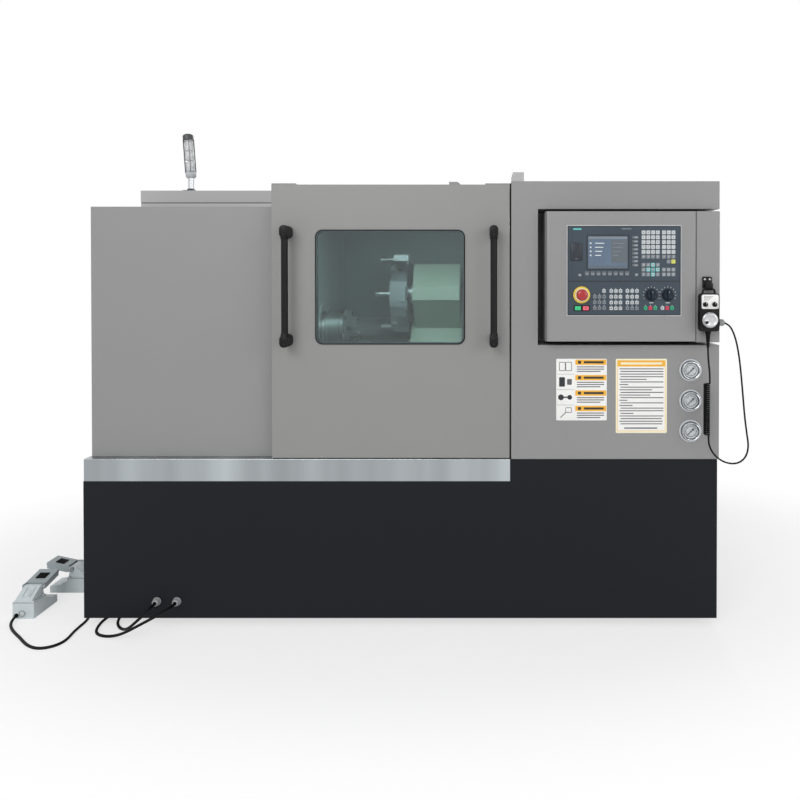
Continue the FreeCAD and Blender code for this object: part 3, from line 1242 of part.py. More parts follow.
save("tailstock_quill", tailstock_quill())
save("door_panel", door_panel())
save("window_glass", window_glass())
save("window_seal", window_seal())
save("door_handles", door_handles())
save("control_box", control_box())
save("display_panel", display_panel())
save("machine_panel", machine_panel())
save("estop_button", estop_button())
save("start_button", push_button(START))
save("stop_button", push_button(STOP))
save("feed_knob", override_knob(FEED_KNOB))
save("spindle_knob", override_knob(SPINDLE_KNOB))
save("hinge_post", hinge_post())
save("pendant_holder", pendant_holder())
save("pendant_body", pendant_body())
save("pendant_wheel", pendant_wheel())
save("pendant_axis_knob", pendant_knob(KNOBS[0]))
save("pendant_step_knob", pendant_knob(KNOBS[1]))
save("tower_foot", tower_foot())
save("tower_lens", tower_lens())
save("pressure_gauges", pressure_gauges())
save("cable_glands", cable_glands())
save("pedal_housings", Part.makeCompound([placed(pedal_housing(), p)
                                          for p in (FRONT_PEDAL, REAR_PEDAL)]))
save("pedal_front_treadle", placed(pedal_treadle(), FRONT_PEDAL))
save("pedal_rear_treadle", placed(pedal_treadle(), REAR_PEDAL))
save("pedal_cord_front", cord(FRONT_CORD, PEDAL_CORD, "front pedal cord"))
save("pedal_cord_rear", cord(REAR_CORD, PEDAL_CORD, "rear pedal cord"))
save("pendant_tail", cord(TAIL_CORD, PENDANT_CORD, "pendant cord tail"))
save("pendant_coil", pendant_coil())
save("pendant_lead", cord(LEAD_ROUTE, PENDANT_CORD, "pendant cord lead"))
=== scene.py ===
import math

import bmesh
import bpy
from mathutils import Matrix, Vector


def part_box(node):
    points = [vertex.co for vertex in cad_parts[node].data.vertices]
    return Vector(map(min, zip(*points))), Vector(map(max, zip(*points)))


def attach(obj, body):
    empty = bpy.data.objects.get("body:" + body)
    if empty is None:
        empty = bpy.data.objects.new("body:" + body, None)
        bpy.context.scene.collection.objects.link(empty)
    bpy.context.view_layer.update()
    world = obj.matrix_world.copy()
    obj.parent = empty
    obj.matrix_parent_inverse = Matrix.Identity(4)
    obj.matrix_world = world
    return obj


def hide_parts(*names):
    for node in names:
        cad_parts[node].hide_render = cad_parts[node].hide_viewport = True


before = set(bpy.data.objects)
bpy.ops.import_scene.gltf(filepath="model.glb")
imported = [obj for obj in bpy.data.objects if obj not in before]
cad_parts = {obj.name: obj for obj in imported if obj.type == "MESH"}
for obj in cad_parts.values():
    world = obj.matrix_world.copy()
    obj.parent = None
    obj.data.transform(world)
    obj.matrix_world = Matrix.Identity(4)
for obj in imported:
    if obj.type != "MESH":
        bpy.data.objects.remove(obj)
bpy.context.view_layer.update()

# A slant-bed turning lathe in its enclosure. Pieces are drawn in millimetres, in the frame of
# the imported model, and turned into metres when each one is finished.
MM = 0.001
UP = Vector((0, 0, 1))
TO_RIGHT = Vector((1, 0, 0))
TO_BACK = Vector((0, 1, 0))
TO_FRONT = -TO_BACK
ORIGIN = (0, 0, 0)
HALF_ROOT = math.sqrt(0.5)
SHARP_EDGE = 38.0   # degrees between faces from which an edge isn't shaded smooth


def corners(node):
    """Lowest and highest corner of a node of the model, in millimetres."""
    low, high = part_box(node)
    return low / MM, high / MM


def middle(node):
    """Middle of a node's box, in millimetres."""
    low, high = corners(node)
    return (low + high) / 2


def shift(x, y, z):
    """A place for drawing, moved by so many millimetres."""
    return Matrix.Translation((x, y, z))


def tilt(degrees, axis="X"):
    return Matrix.Rotation(math.radians(degrees), 4, axis)


# -------- camera, floor and light
CAMERA_PLACE = (0.3306, -3.4178, 1.3299)
CAMERA_TILT = math.radians(89.454)
LENS = 31.82
SENSOR_WIDTH = 36.0
SHIFT = (-0.1094, -0.1457)
AMBIENT = 0.50
FLOOR_HALF = 30.0
FLOOR_GREY = (0.93, 0.93, 0.93, 1)
FLOOR_SQUASH = (0.62, 1.0, 1.0)   # the floor's bright part is an oval that follows the machine
FLOOR_FADE = (1.05, 1.75)         # metres over which the floor turns plain white
FLOOR_GLOW = 0.65                 # share of plain white close to the machine
WHITE = (1, 1, 1, 1)


def link(name, data):
    """A new object in the scene."""
    made = bpy.data.objects.new(name, data)
    bpy.context.scene.collection.objects.link(made)
    return made


def set_camera():
    """Camera whose place, tilt and shift were fitted to the photograph."""
    data = bpy.data.cameras.new("camera")
    data.lens = LENS
    data.sensor_width = SENSOR_WIDTH
    data.shift_x, data.shift_y = SHIFT
    camera = link("camera", data)
    camera.location = CAMERA_PLACE
    camera.rotation_euler = (CAMERA_TILT, 0, 0)
    bpy.context.scene.camera = camera


def add_node(tree, kind, settings=None, **inputs):
    """A shader node; an input is a value or another node's output."""
    made = tree.nodes.new(kind)
    for key, value in (settings or {}).items():
        setattr(made, key, value)
    for key, value in inputs.items():
        socket = made.inputs[int(key[1:]) if key[1:].isdigit() else key.replace("_", " ")]
        if isinstance(value, bpy.types.NodeSocket):
            tree.links.new(value, socket)
        else:
            socket.default_value = value
    return made


def add_math(tree, operation, first, second):
    made = add_node(tree, "ShaderNodeMath", {"operation": operation}, i0=first, i1=second)
    return made.outputs[0]


def seen_directly(tree):
    """1 for rays from the camera, a mirror or a pane of glass, and 0 for the light itself."""
    rays = tree.nodes.new("ShaderNodeLightPath").outputs
    most = add_math(tree, "MAXIMUM", rays["Is Camera Ray"], rays["Is Glossy Ray"])
    return add_math(tree, "MAXIMUM", most, rays["Is Transmission Ray"])


def set_world():
    """White surroundings that light the object less than they show."""
    world = bpy.data.worlds.new("studio")
    bpy.context.scene.world = world
    world.use_nodes = True
    tree = world.node_tree
    background = tree.nodes["Background"]
    background.inputs["Color"].default_value = WHITE
    extra = add_math(tree, "MULTIPLY", seen_directly(tree), 1.0 - AMBIENT)
    strength = add_math(tree, "ADD", extra, AMBIENT)
    tree.links.new(strength, background.inputs["Strength"])


def floor_material():
    """Pale floor that keeps the object's shadow and fades to the white background."""
    made = bpy.data.materials.new("floor")
    made.use_nodes = True
    tree = made.node_tree
    tree.nodes.clear()
    place = tree.nodes.new("ShaderNodeTexCoord")
    oval = add_node(tree, "ShaderNodeMapping", Vector=place.outputs["Object"], Scale=FLOOR_SQUASH)
    far = add_node(tree, "ShaderNodeVectorMath", {"operation": "LENGTH"}, i0=oval.outputs[0])
    fade = add_node(tree, "ShaderNodeMapRange", {"interpolation_type": "SMOOTHSTEP"},
                    Value=far.outputs["Value"], From_Min=FLOOR_FADE[0], From_Max=FLOOR_FADE[1],
                    To_Min=FLOOR_GLOW)
    share = add_math(tree, "MULTIPLY", fade.outputs["Result"], seen_directly(tree))
    plain = add_node(tree, "ShaderNodeBsdfDiffuse", Color=FLOOR_GREY)
    white = add_node(tree, "ShaderNodeEmission", Color=WHITE, Strength=1.0)
    mixed = add_node(tree, "ShaderNodeMixShader", i0=share, i1=plain.outputs[0], i2=white.outputs[0])
    out = tree.nodes.new("ShaderNodeOutputMaterial")
    tree.links.new(mixed.outputs[0], out.inputs["Surface"])
    return made


def add_floor():
    mesh = bpy.data.meshes.new("floor")
    places = [(x * FLOOR_HALF, y * FLOOR_HALF, 0) for x, y in ((-1, -1), (1, -1), (1, 1), (-1, 1))]
    mesh.from_pydata(places, [], [(0, 1, 2, 3)])
    mesh.materials.append(floor_material())
    link("floor", mesh)


def add_lamp(name, place, aim, size, watts):
    data = bpy.data.lights.new(name, "AREA")
    data.shape = "RECTANGLE"
    data.size, data.size_y = size
    data.energy = watts
    lamp = link(name, data)
    lamp.location = place
    lamp.rotation_euler = (Vector(aim) - Vector(place)).to_track_quat("-Z", "Y").to_euler()


bpy.context.scene.view_settings.view_transform = "Standard"
set_camera()
set_world()
add_floor()
add_lamp("key", (-2.2, -6.5, 4.6), (0, -0.4, 1.0), (4.0, 3.0), 190)
add_lamp("fill", (4.6, -4.2, 2.6), (0.4, -0.2, 0.9), (3.0, 3.0), 72)
add_lamp("back", (0.5, 5.0, 4.0), (0, 0.2, 1.0), (4.0, 3.0), 120)


# -------- materials
def linear(colour):
    """The colour that shaders take, from one read off a picture on a scale of 255."""
    shares = [value / 255 for value in colour]
    return (*[s / 12.92 if s <= 0.04045 else ((s + 0.055) / 1.055) ** 2.4 for s in shares], 1.0)


def scaled(colour, by):
    return (*[min(1.0, c * by) for c in colour[:3]], 1.0)


def material(name, colour, roughness, metallic=0.0, blotch=(2.0, 0.03), grain=(700.0, 0.00004),
             stretch=(1, 1, 1), uneven=0.04, cells=False, **shader_inputs):
    """A procedural finish: slow changes of colour, a fine grain in relief and uneven gloss.

    A blotch is its scale and how far the colour changes, a grain its scale and its depth.
    """
    made = bpy.data.materials.new(name)
    made.use_nodes = True
    tree = made.node_tree
    shader = tree.nodes["Principled BSDF"]
    shader.inputs["Metallic"].default_value = metallic
    for key, value in shader_inputs.items():
        shader.inputs[key.replace("_", " ")].default_value = value
    place = tree.nodes.new("ShaderNodeTexCoord")
    spread = add_node(tree, "ShaderNodeMapping", Vector=place.outputs["Object"], Scale=stretch)
    slow = add_node(tree, "ShaderNodeTexNoise", Vector=spread.outputs[0], Scale=blotch[0], Detail=3.0)
    base = linear(colour)
    tint = add_node(tree, "ShaderNodeMix", {"data_type": "RGBA"}, i0=slow.outputs["Fac"],
                    i6=scaled(base, 1 - 2 * blotch[1]), i7=scaled(base, 1 + 2 * blotch[1]))
    tree.links.new(tint.outputs[2], shader.inputs["Base Color"])
    if cells:
        fine = add_node(tree, "ShaderNodeTexVoronoi", {"feature": "SMOOTH_F1"},
                        Vector=spread.outputs[0], Scale=grain[0])
        height = fine.outputs["Distance"]
    else:
        fine = add_node(tree, "ShaderNodeTexNoise", Vector=spread.outputs[0], Scale=grain[0], Detail=2.0)
        height = fine.outputs["Fac"]
    gloss = add_node(tree, "ShaderNodeMapRange", Value=slow.outputs["Fac"], From_Min=0.3, From_Max=0.7,
                     To_Min=max(0.0, roughness - uneven), To_Max=min(1.0, roughness + uneven))
    tree.links.new(gloss.outputs["Result"], shader.inputs["Roughness"])
    bump = add_node(tree, "ShaderNodeBump", Height=height, Distance=grain[1], Strength=1.0)
    tree.links.new(bump.outputs["Normal"], shader.inputs["Normal"])
    return made


def small(name, colour, roughness=0.45, scale=40.0, change=0.05, metallic=0.0, **more):
    """The finish of a small plain part: its colour changes over a few centimetres."""
    return material(name, colour, roughness, metallic, blotch=(scale, change), **more)


SHEET = {"blotch": (2.0, 0.015)}
RUBBER = {"grain": (1500.0, 0.00004)}
HAMMERED = {"grain": (320.0, 0.0005), "cells": True}
CABINET = material("cabinet_paint", (141, 141, 141), 0.42, **SHEET)
DOOR_PAINT = material("door_paint", (141, 141, 140), 0.40, **SHEET)
LID_PAINT = material("lid_paint", (173, 173, 174), 0.42, **SHEET)
BASE_PAINT = material("base_paint", (22, 24, 29), 0.55, grain=(900.0, 0.0001), Specular_IOR_Level=0.18)
# Gutter band's stainless: its colour swings light and dark in broad bands along its length, a painted
# reflection.
STAINLESS_PAINTED_REFLECTION = material("stainless_sheet_painted_reflection", (166, 172, 175), 0.28, 1.0, blotch=(3.6, 0.42),
                       stretch=(1.0, 0.02, 0.02), grain=(30.0, 0.00003), uneven=0.10)
CHAMBER_STEEL = material("chamber_steel", (152, 164, 162), 0.42, 0.6, blotch=(2.2, 0.16),
                         stretch=(14.0, 14.0, 1.0), grain=(40.0, 0.00003), uneven=0.12)
CHAMBER_PAINT = material("chamber_paint", (60, 79, 84), 0.45, blotch=(2.2, 0.12),
                         stretch=(14.0, 14.0, 1.0), grain=(350.0, 0.00008), uneven=0.08)
CARRIAGE_PAINT = material("carriage_paint", (132, 143, 134), 0.5, blotch=(3.0, 0.05),
                          grain=(350.0, 0.0003))
CAST = material("cast_paint", (90, 98, 100), 0.55, blotch=(6.0, 0.06), grain=(350.0, 0.0003))
MACHINED = material("machined_steel", (176, 179, 182), 0.28, 1.0, blotch=(9.0, 0.05),
                    stretch=(40.0, 1.0, 1.0), grain=(30.0, 0.00002))
CHUCK_STEEL = small("chuck_steel", (150, 153, 157), 0.30, 12.0, 0.06, 1.0)
TOOL_BLACK = small("black_oxide", (46, 47, 50), 0.42, 20.0, 0.1, 0.6)
ALUMINIUM = small("aluminium", (196, 198, 200), 0.30, 14.0, 0.04, 1.0)
CHROME = small("chrome", (198, 202, 206), 0.24, 20.0, 0.03, 1.0)
BLACK_PLASTIC = material("black_plastic", (13, 13, 15), 0.46, grain=(1200.0, 0.00006),
                         Specular_IOR_Level=0.22)
SOFT_BLACK = material("black_rubber", (9, 9, 11), 0.66, Specular_IOR_Level=0.15, **RUBBER)
SEAL_GREY = material("window_rubber", (74, 86, 90), 0.55, **RUBBER)
CORD_BLACK = small("cord_sheath", (6, 7, 8), 0.5, 30.0, 0.12, Specular_IOR_Level=0.15)
PANEL_FILM = material("panel_film", (50, 63, 74), 0.38, blotch=(9.0, 0.07), grain=(1600.0, 0.00003))
PANEL_DARK = small("panel_dark", (30, 38, 48), 0.40, 12.0, 0.07)
SCREEN = small("screen", (84, 104, 126), 0.16, 11.0, 0.14, Coat_Weight=0.6)
KEY_WHITE = small("key_white", (192, 197, 200), change=0.03)
KEY_GREY = small("key_grey", (124, 131, 137), 0.48)
KEY_DIM = small("key_dim", (92, 101, 108), 0.48)
KEY_YELLOW = small("key_yellow", (226, 226, 110), change=0.04)
KEY_TURQUOISE = small("key_turquoise", (96, 190, 188))
KEY_GREEN = small("key_green", (38, 170, 120), 0.42)
KEY_RED = small("key_red", (214, 52, 84), 0.42)
BUTTON_GREEN = small("button_green", (52, 200, 132), 0.35, change=0.04, Coat_Weight=0.3)
BUTTON_ROSE = small("button_rose", (236, 96, 118), 0.35, change=0.04, Coat_Weight=0.3)
LEGEND = small("legend_ink", (30, 34, 40), 0.55, 60.0)
GAUGE_INK_SHADE_REFLECTION = small("gauge_ink_shade_and_reflection", (10, 12, 15), 0.6, 60.0, Specular_IOR_Level=0.2)
LEGEND_PALE = small("legend_pale", (214, 220, 224), 0.5, 60.0, 0.04)
KNOB_NAVY = small("knob_navy", (25, 36, 49), Specular_IOR_Level=0.3)
ESTOP_RED = small("estop_red", (168, 22, 28), 0.30, 30.0, Coat_Weight=0.4)
ESTOP_YELLOW = small("estop_yellow", (232, 200, 62), 0.42, 30.0, 0.04)
PLATE_WHITE = small("plate_white", (240, 240, 238), 0.40, 16.0, 0.02)
PLATE_CREAM = small("plate_cream", (244, 236, 206), 0.42, 16.0, 0.02)
PLATE_ORANGE = small("plate_orange", (240, 178, 54), 0.42, 16.0, 0.03)
PLATE_GREY = small("plate_grey", (92, 92, 95), 0.5, 60.0)
DIAL = small("dial_white", (232, 237, 242), 0.35, 30.0, 0.03)
PEDAL_PAINT = small("hammered_paint", (203, 212, 215), 0.36, 14.0, 0.06, **HAMMERED)
# Darker copy of the pedals' hammered paint for the treadles: painted shade.
PEDAL_PAINTED_SHADE = small("hammered_painted_shade", (158, 168, 172), 0.40, 14.0, 0.07, **HAMMERED)
GLAND_GREY = small("gland_grey", (150, 152, 154), 0.45, 30.0)
GAUGE_FLANGE = small("gauge_flange", (204, 208, 213), 0.36, 20.0, 0.04, 0.3)
LAMP_DARK = small("lamp_cap", (62, 66, 68), 0.35, 20.0)
LAMP_CORE = small("lamp_core", (238, 241, 242), 0.4, 30.0)
GLASS = small("window_glass", (205, 226, 225), 0.05, 3.0, grain=(60.0, 0.00001), uneven=0.03,
              Transmission_Weight=0.985, IOR=1.48, Specular_IOR_Level=0.18)
CLEAR = small("clear_plastic", (251, 253, 253), 0.06, 12.0, 0.03, grain=(90.0, 0.00001), uneven=0.03,
              Transmission_Weight=0.95, IOR=1.46)
LAMP_LIT = small("work_lamp", (236, 255, 250), 0.4, 30.0, 0.02, Emission_Strength=100.0,
                 Emission_Color=linear((240, 255, 250)))


# -------- mesh building
def circle(part, centre, axis, side, radius, count):
    """New vertices round an axis, or a single one where the radius is 0."""
    other = axis.cross(side)
    turns = [2 * math.pi * i / count for i in range(count if radius else 1)]
    return [part.verts.new(centre + (side * math.cos(t) + other * math.sin(t)) * radius)
            for t in turns]


def join(part, low, high):
    """Faces between two loops of vertices; a loop of one vertex is a tip."""
    count = max(len(low), len(high))
    for i in range(count):
        j = (i + 1) % count
        face = [low[i % len(low)], low[j % len(low)], high[j % len(high)], high[i % len(high)]]
        face = [v for k, v in enumerate(face) if v not in face[:k]]
        if len(face) > 2:
            part.faces.new(face)


def around(centre, size):
    return (centre - size / 2, centre + size / 2)


def inset(span, by):
    return (span[0] + by, span[1] - by)


def polar(radius, degrees, y=0.0):
    """A point round an axis that faces the front; the angle runs clockwise from the top."""
    angle = math.radians(degrees)
    return Vector((radius * math.sin(angle), y, radius * math.cos(angle)))


def rounded(x, z, y, radius, steps=5):
    """Points of a rectangle with round corners, in an upright plane that faces the front."""
    (left, right), (low, high) = inset(x, radius), inset(z, radius)
    points = []
    for i, centre in enumerate(((right, high), (left, high), (left, low), (right, low))):
        for k in range(steps + 1):
            angle = math.pi / 2 * (i + k / steps)
            points.append((centre[0] + radius * math.cos(angle), y,
                           centre[1] + radius * math.sin(angle)))
    return points


class Form:
    """Collects geometry in millimetres, drawn at a place, and becomes one piece."""

    def __init__(self, place=Matrix()):
        self.mesh = bmesh.new()
        self.materials = []
        self.place = place

    def absorb(self, part, finish, bevel=0.0):
        """Adds a separate mesh to the form, with its edges rounded where a bevel is given."""
        if bevel:
            bmesh.ops.bevel(part, geom=part.edges[:], offset=bevel, segments=2, profile=0.5,
                            affect="EDGES")
        bmesh.ops.recalc_face_normals(part, faces=part.faces)
        part.transform(self.place)
        if finish not in self.materials:
            self.materials.append(finish)
        for face in part.faces:
            face.material_index = self.materials.index(finish)
        holder = bpy.data.meshes.new("part")
        part.to_mesh(holder)
        part.free()
        self.mesh.from_mesh(holder)
        bpy.data.meshes.remove(holder)

    def box(self, finish, x, y, z, bevel=0.0):
        part = bmesh.new()
        low, high = [Vector(corner) for corner in zip(x, y, z)]
        reach = Matrix.LocRotScale((low + high) / 2, None, high - low)
        bmesh.ops.create_cube(part, size=1.0, matrix=reach)
        self.absorb(part, finish, bevel)

    def prism(self, finish, outline, travel, bevel=0.0):
        """A closed outline pushed along a vector."""
        part = bmesh.new()
        near = [part.verts.new(Vector(p)) for p in outline]
        far = [part.verts.new(Vector(p) + travel) for p in outline]
        part.faces.new(near)
        part.faces.new(far[::-1])
        join(part, far, near)
        self.absorb(part, finish, bevel)

    def slab(self, finish, x, z, y, thick, radius, bevel=0.0):
        """Plate with round corners whose face is at y and whose back is thick behind it."""
        self.prism(finish, rounded(x, z, y, radius), TO_BACK * thick, bevel)

    def tile(self, finish, centre, size, y, thick, radius, bevel=0.0):
        """Slab given by its centre and its size, each as across and up."""
        self.slab(finish, around(centre[0], size[0]), around(centre[1], size[1]), y, thick, radius,
                  bevel)

    def border(self, finish, x, z, y, thick, width, radius):
        """Bar of the given width all round inside an outline, with an open middle."""
        part = bmesh.new()
        outer = rounded(x, z, y, radius)
        inner = rounded(inset(x, width), inset(z, width), y, max(0.3, radius - width))
        back = TO_BACK * thick
        loops = [[part.verts.new(Vector(p) + move) for p in points] for points, move in
                 ((outer, back), (outer, Vector()), (inner, Vector()), (inner, back))]
        for near, far in zip(loops, loops[1:] + loops[:1]):
            join(part, near, far)
        self.absorb(part, finish)

    def spoke(self, finish, y, reach, width, degrees, centre=(0, 0), thick=0.4):
        """Flat mark that points away from a centre; the angle runs clockwise from the top."""
        out = polar(1.0, degrees)
        side = polar(width / 2, degrees + 90)
        start = Vector((centre[0], y, centre[1]))
        near, far = start + out * reach[0], start + out * reach[1]
        self.prism(finish, [near - side, far - side, far + side, near + side], TO_BACK * thick)

    def lathe(self, finish, profile, centre=ORIGIN, axis=TO_FRONT, segments=40):
        """Turned form: (radius, distance along the axis) pairs; radius 0 closes an end."""
        part = bmesh.new()
        axis = Vector(axis).normalized()
        side = axis.orthogonal().normalized()
        loops = [circle(part, Vector(centre) + axis * along, axis, side, radius, segments)
                 for radius, along in profile]
        for low, high in zip(loops, loops[1:]):
            join(part, low, high)
        self.absorb(part, finish)

    def ring(self, finish, profile, centre=ORIGIN, axis=TO_FRONT, segments=64):
        """Turned form whose profile is a closed loop, such as a bezel."""
        self.lathe(finish, profile + profile[:1], centre, axis, segments)

    def disc(self, finish, radius, span, centre=ORIGIN, axis=TO_FRONT, segments=20):
        low, high = span
        self.lathe(finish, [(0, low), (radius, low), (radius, high), (0, high)], centre, axis, segments)

    def tube(self, finish, path, radius, segments=12):
        """Round bar along points, with closed ends."""
        part = bmesh.new()
        points = [Vector(p) for p in path]
        side = (points[1] - points[0]).orthogonal().normalized()
        loops = []
        for i, point in enumerate(points):
            heading = (points[min(i + 1, len(points) - 1)] - points[max(i - 1, 0)]).normalized()
            side = (side - heading * side.dot(heading)).normalized()
            loops.append(circle(part, point, heading, side, radius, segments))
        for low, high in zip(loops, loops[1:]):
            join(part, low, high)
        part.faces.new(loops[0][::-1])
        part.faces.new(loops[-1])
        self.absorb(part, finish)

    def text(self, finish, words, centre, size):
        """Flat lettering that faces the front, centred on a point."""
        curve = bpy.data.curves.new("words", "FONT")
        curve.body = words
        curve.size = size
        curve.align_x = "CENTER"
        curve.align_y = "CENTER"
        curve.resolution_u = 2
        writing = bpy.data.objects.new("words", curve)
        flat = bpy.data.meshes.new_from_object(writing)
        flat.transform(shift(*centre) @ tilt(90))
        part = bmesh.new()
        part.from_mesh(flat)
        bmesh.ops.remove_doubles(part, verts=part.verts, dist=0.001)
        bpy.data.meshes.remove(flat)
        bpy.data.objects.remove(writing)
        bpy.data.curves.remove(curve)
        self.absorb(part, finish)

    def screw(self, centre, axis=TO_FRONT, radius=4.0, finish=TOOL_BLACK):
        """Domed screw head with a round socket."""
        axis = Vector(axis).normalized()
        height = radius * 0.55
        self.lathe(finish, [(0, 0), (radius, 0), (radius, height * 0.5), (radius * 0.8, height),
                            (radius * 0.42, height + 0.5), (radius * 0.38, height * 0.4),
                            (0, height * 0.4)], Vector(centre) - axis * 0.5, axis, 18)

    def become(self, name, body, slot, *replaced):
        """Ends the form as a piece that rides on a body of the model."""
        mesh = bpy.data.meshes.new(name)
        self.mesh.to_mesh(mesh)
        self.mesh.free()
        mesh.transform(Matrix.Scale(MM, 4))
        mesh.shade_smooth()
        mesh.set_sharp_from_angle(angle=math.radians(SHARP_EDGE))
        for finish in self.materials:
            mesh.materials.append(finish)
        piece = link(name, mesh)
        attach(piece, body)
        if replaced:
            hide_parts(*replaced)


# -------- cords, in metres
PEDAL_CORD = 0.0105
PENDANT_CORD = 0.0065
FLOOR_LINE = 0.00575   # height of a pedal cord's middle where it lies on the floor


def on_floor(*places):
    return [(x, y, FLOOR_LINE) for x, y in places]


FRONT_CORD = [
    (-0.846, -0.770, 0.100), (-0.847, -0.796, 0.100), (-0.856, -0.821, 0.098),
    (-0.872, -0.841, 0.093), (-0.894, -0.854, 0.084), (-0.921, -0.860, 0.071),
    (-0.951, -0.860, 0.055), (-0.981, -0.854, 0.038), (-1.009, -0.844, 0.023),
    (-1.036, -0.834, 0.012),
    *on_floor((-1.064, -0.828), (-1.093, -0.823), (-1.118, -0.808), (-1.135, -0.783),
              (-1.145, -0.748), (-1.150, -0.706), (-1.143, -0.664), (-1.131, -0.628),
              (-1.126, -0.592), (-1.137, -0.562), (-1.161, -0.541), (-1.193, -0.536),
              (-1.223, -0.547), (-1.244, -0.571), (-1.250, -0.603), (-1.241, -0.636),
              (-1.222, -0.673), (-1.212, -0.713), (-1.213, -0.755), (-1.212, -0.796),
              (-1.206, -0.835), (-1.207, -0.867), (-1.222, -0.893), (-1.248, -0.909),
              (-1.279, -0.911), (-1.312, -0.897), (-1.346, -0.872), (-1.383, -0.838),
              (-1.422, -0.806), (-1.457, -0.774)),
    (-1.482, -0.744, 0.008), (-1.494, -0.714, 0.013), (-1.497, -0.688, 0.015)]
REAR_CORD = [
    (-0.922, -0.770, 0.100), (-0.922, -0.794, 0.099), (-0.929, -0.816, 0.092),
    (-0.943, -0.832, 0.078), (-0.962, -0.838, 0.061), (-0.982, -0.831, 0.043),
    (-1.002, -0.816, 0.028), (-1.023, -0.797, 0.016), (-1.046, -0.775, 0.008),
    *on_floor((-1.069, -0.750), (-1.088, -0.719), (-1.099, -0.682), (-1.103, -0.642),
              (-1.106, -0.598), (-1.114, -0.552), (-1.132, -0.508), (-1.163, -0.470),
              (-1.205, -0.444), (-1.253, -0.431)),
    (-1.297, -0.429, 0.009), (-1.328, -0.434, 0.0135), (-1.353, -0.436, 0.015)]
LEAD = [(1.145, -0.808, 1.069), (1.1453, -0.8085, 1.040), (1.147, -0.8115, 1.008),
        (1.1496, -0.8145, 0.976), (1.15025, -0.815, 0.941), (1.15025, -0.8125, 0.9355)]
TAIL = [(1.15025, -0.8035, 0.7445), (1.15025, -0.801, 0.739),
        (1.15025, -0.801, 0.7316), (1.1515, -0.801, 0.708), (1.162, -0.8015, 0.682),
        (1.184, -0.801, 0.656), (1.219, -0.798, 0.637), (1.260, -0.795, 0.634),
        (1.292, -0.792, 0.656), (1.304, -0.789, 0.697), (1.297, -0.786, 0.748),
        (1.290, -0.783, 0.812), (1.285, -0.780, 0.884), (1.279, -0.778, 0.960),
        (1.272, -0.776, 1.030), (1.262, -0.774, 1.088), (1.248, -0.772, 1.130),
        (1.234, -0.771, 1.150), (1.216, -0.771, 1.158)]
COIL_AXIS = (1.141, -0.808)
COIL_TOP = 0.934
COIL_LOW = 0.746
COIL_TURNS = 26
COIL_RADIUS = 0.00925
POINTS_PER_TURN = 12


def helix():
    """Control points of the curls, outside their radius by as much as the spline cuts inside."""
    reach = COIL_RADIUS / math.cos(math.pi / POINTS_PER_TURN)
    points = []
    for i in range(COIL_TURNS * POINTS_PER_TURN + 1):
        turns = i / POINTS_PER_TURN
        angle = 2 * math.pi * turns
        points.append((COIL_AXIS[0] + reach * math.cos(angle), COIL_AXIS[1] + reach * math.sin(angle),
                       COIL_TOP - (COIL_TOP - COIL_LOW) * turns / COIL_TURNS))
    return points


def cord(name, route, diameter, nodes):
    """A round sheath along a smooth spline whose control points are the route's."""
    curve = bpy.data.curves.new(name, "CURVE")
    curve.dimensions = "3D"
    spline = curve.splines.new("NURBS")
    spline.points.add(len(route) - 1)
    for point, place in zip(spline.points, route):
        point.co = (*place, 1.0)
    spline.order_u = 3
    spline.use_endpoint_u = True
    curve.resolution_u = 5
    curve.bevel_depth = diameter / 2
    curve.bevel_resolution = 3
    curve.use_fill_caps = True
    curve.materials.append(CORD_BLACK)
    piece = link(name, curve)
    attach(piece, "machine")
    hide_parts(*nodes)


cord("front_pedal_cord", FRONT_CORD, PEDAL_CORD, ["pedal_cord_front"])
cord("rear_pedal_cord", REAR_CORD, PEDAL_CORD, ["pedal_cord_rear"])
cord("pendant_cord", LEAD + helix() + TAIL, PENDANT_CORD,
     ["pendant_lead", "pendant_coil", "pendant_tail"])


# -------- finishes of the model's nodes
FINISHES = [
    (BASE_PAINT, "base_cabinet"),
    (TOOL_BLACK, "levelling_feet spindle_motor"),
    (STAINLESS_PAINTED_REFLECTION, "gutter_band"),
    (CABINET, "headstock_cover right_cabinet hinge_post rear_sides rear_panel rear_door control_box"),
    (LID_PAINT, "chamber_roof rear_lid"),
    (ALUMINIUM, "tower_foot pendant_wheel motor_pulley"),
    (CLEAR, "tower_lens"),
    (CHROME, "pressure_gauges"),
    (GLAND_GREY, "cable_glands"),
    (DOOR_PAINT, "door_panel"),
    (GLASS, "window_glass"),
    (SEAL_GREY, "window_seal"),
    (BLACK_PLASTIC, "door_handles feed_knob spindle_knob pendant_body pendant_holder "
                    "pendant_axis_knob pendant_step_knob"),
    (PANEL_FILM, "display_panel machine_panel"),
    (ESTOP_RED, "estop_button"),
    (KEY_GREEN, "start_button"),
    (KEY_RED, "stop_button"),
    (PEDAL_PAINT, "pedal_housings"),
    # Treadles take the darker copy of the hammered paint, as painted shade.
    (PEDAL_PAINTED_SHADE, "pedal_front_treadle pedal_rear_treadle"),
    (CAST, "slant_bed headstock tailstock_body"),
    (SOFT_BLACK, "drive_belt"),
    (MACHINED, "spindle z_ballscrew tailstock_quill"),
    (CHUCK_STEEL, "chuck_body chuck_jaw_1 chuck_jaw_2 chuck_jaw_3 turret_disc"),
    (CARRIAGE_PAINT, "saddle cross_slide"),
    (CHAMBER_STEEL, "spindle_bulkhead"),
    (CHAMBER_PAINT, "chip_pan chamber_back chamber_right_wall"),
    (CORD_BLACK, "pedal_cord_front pedal_cord_rear pendant_lead pendant_coil pendant_tail")]
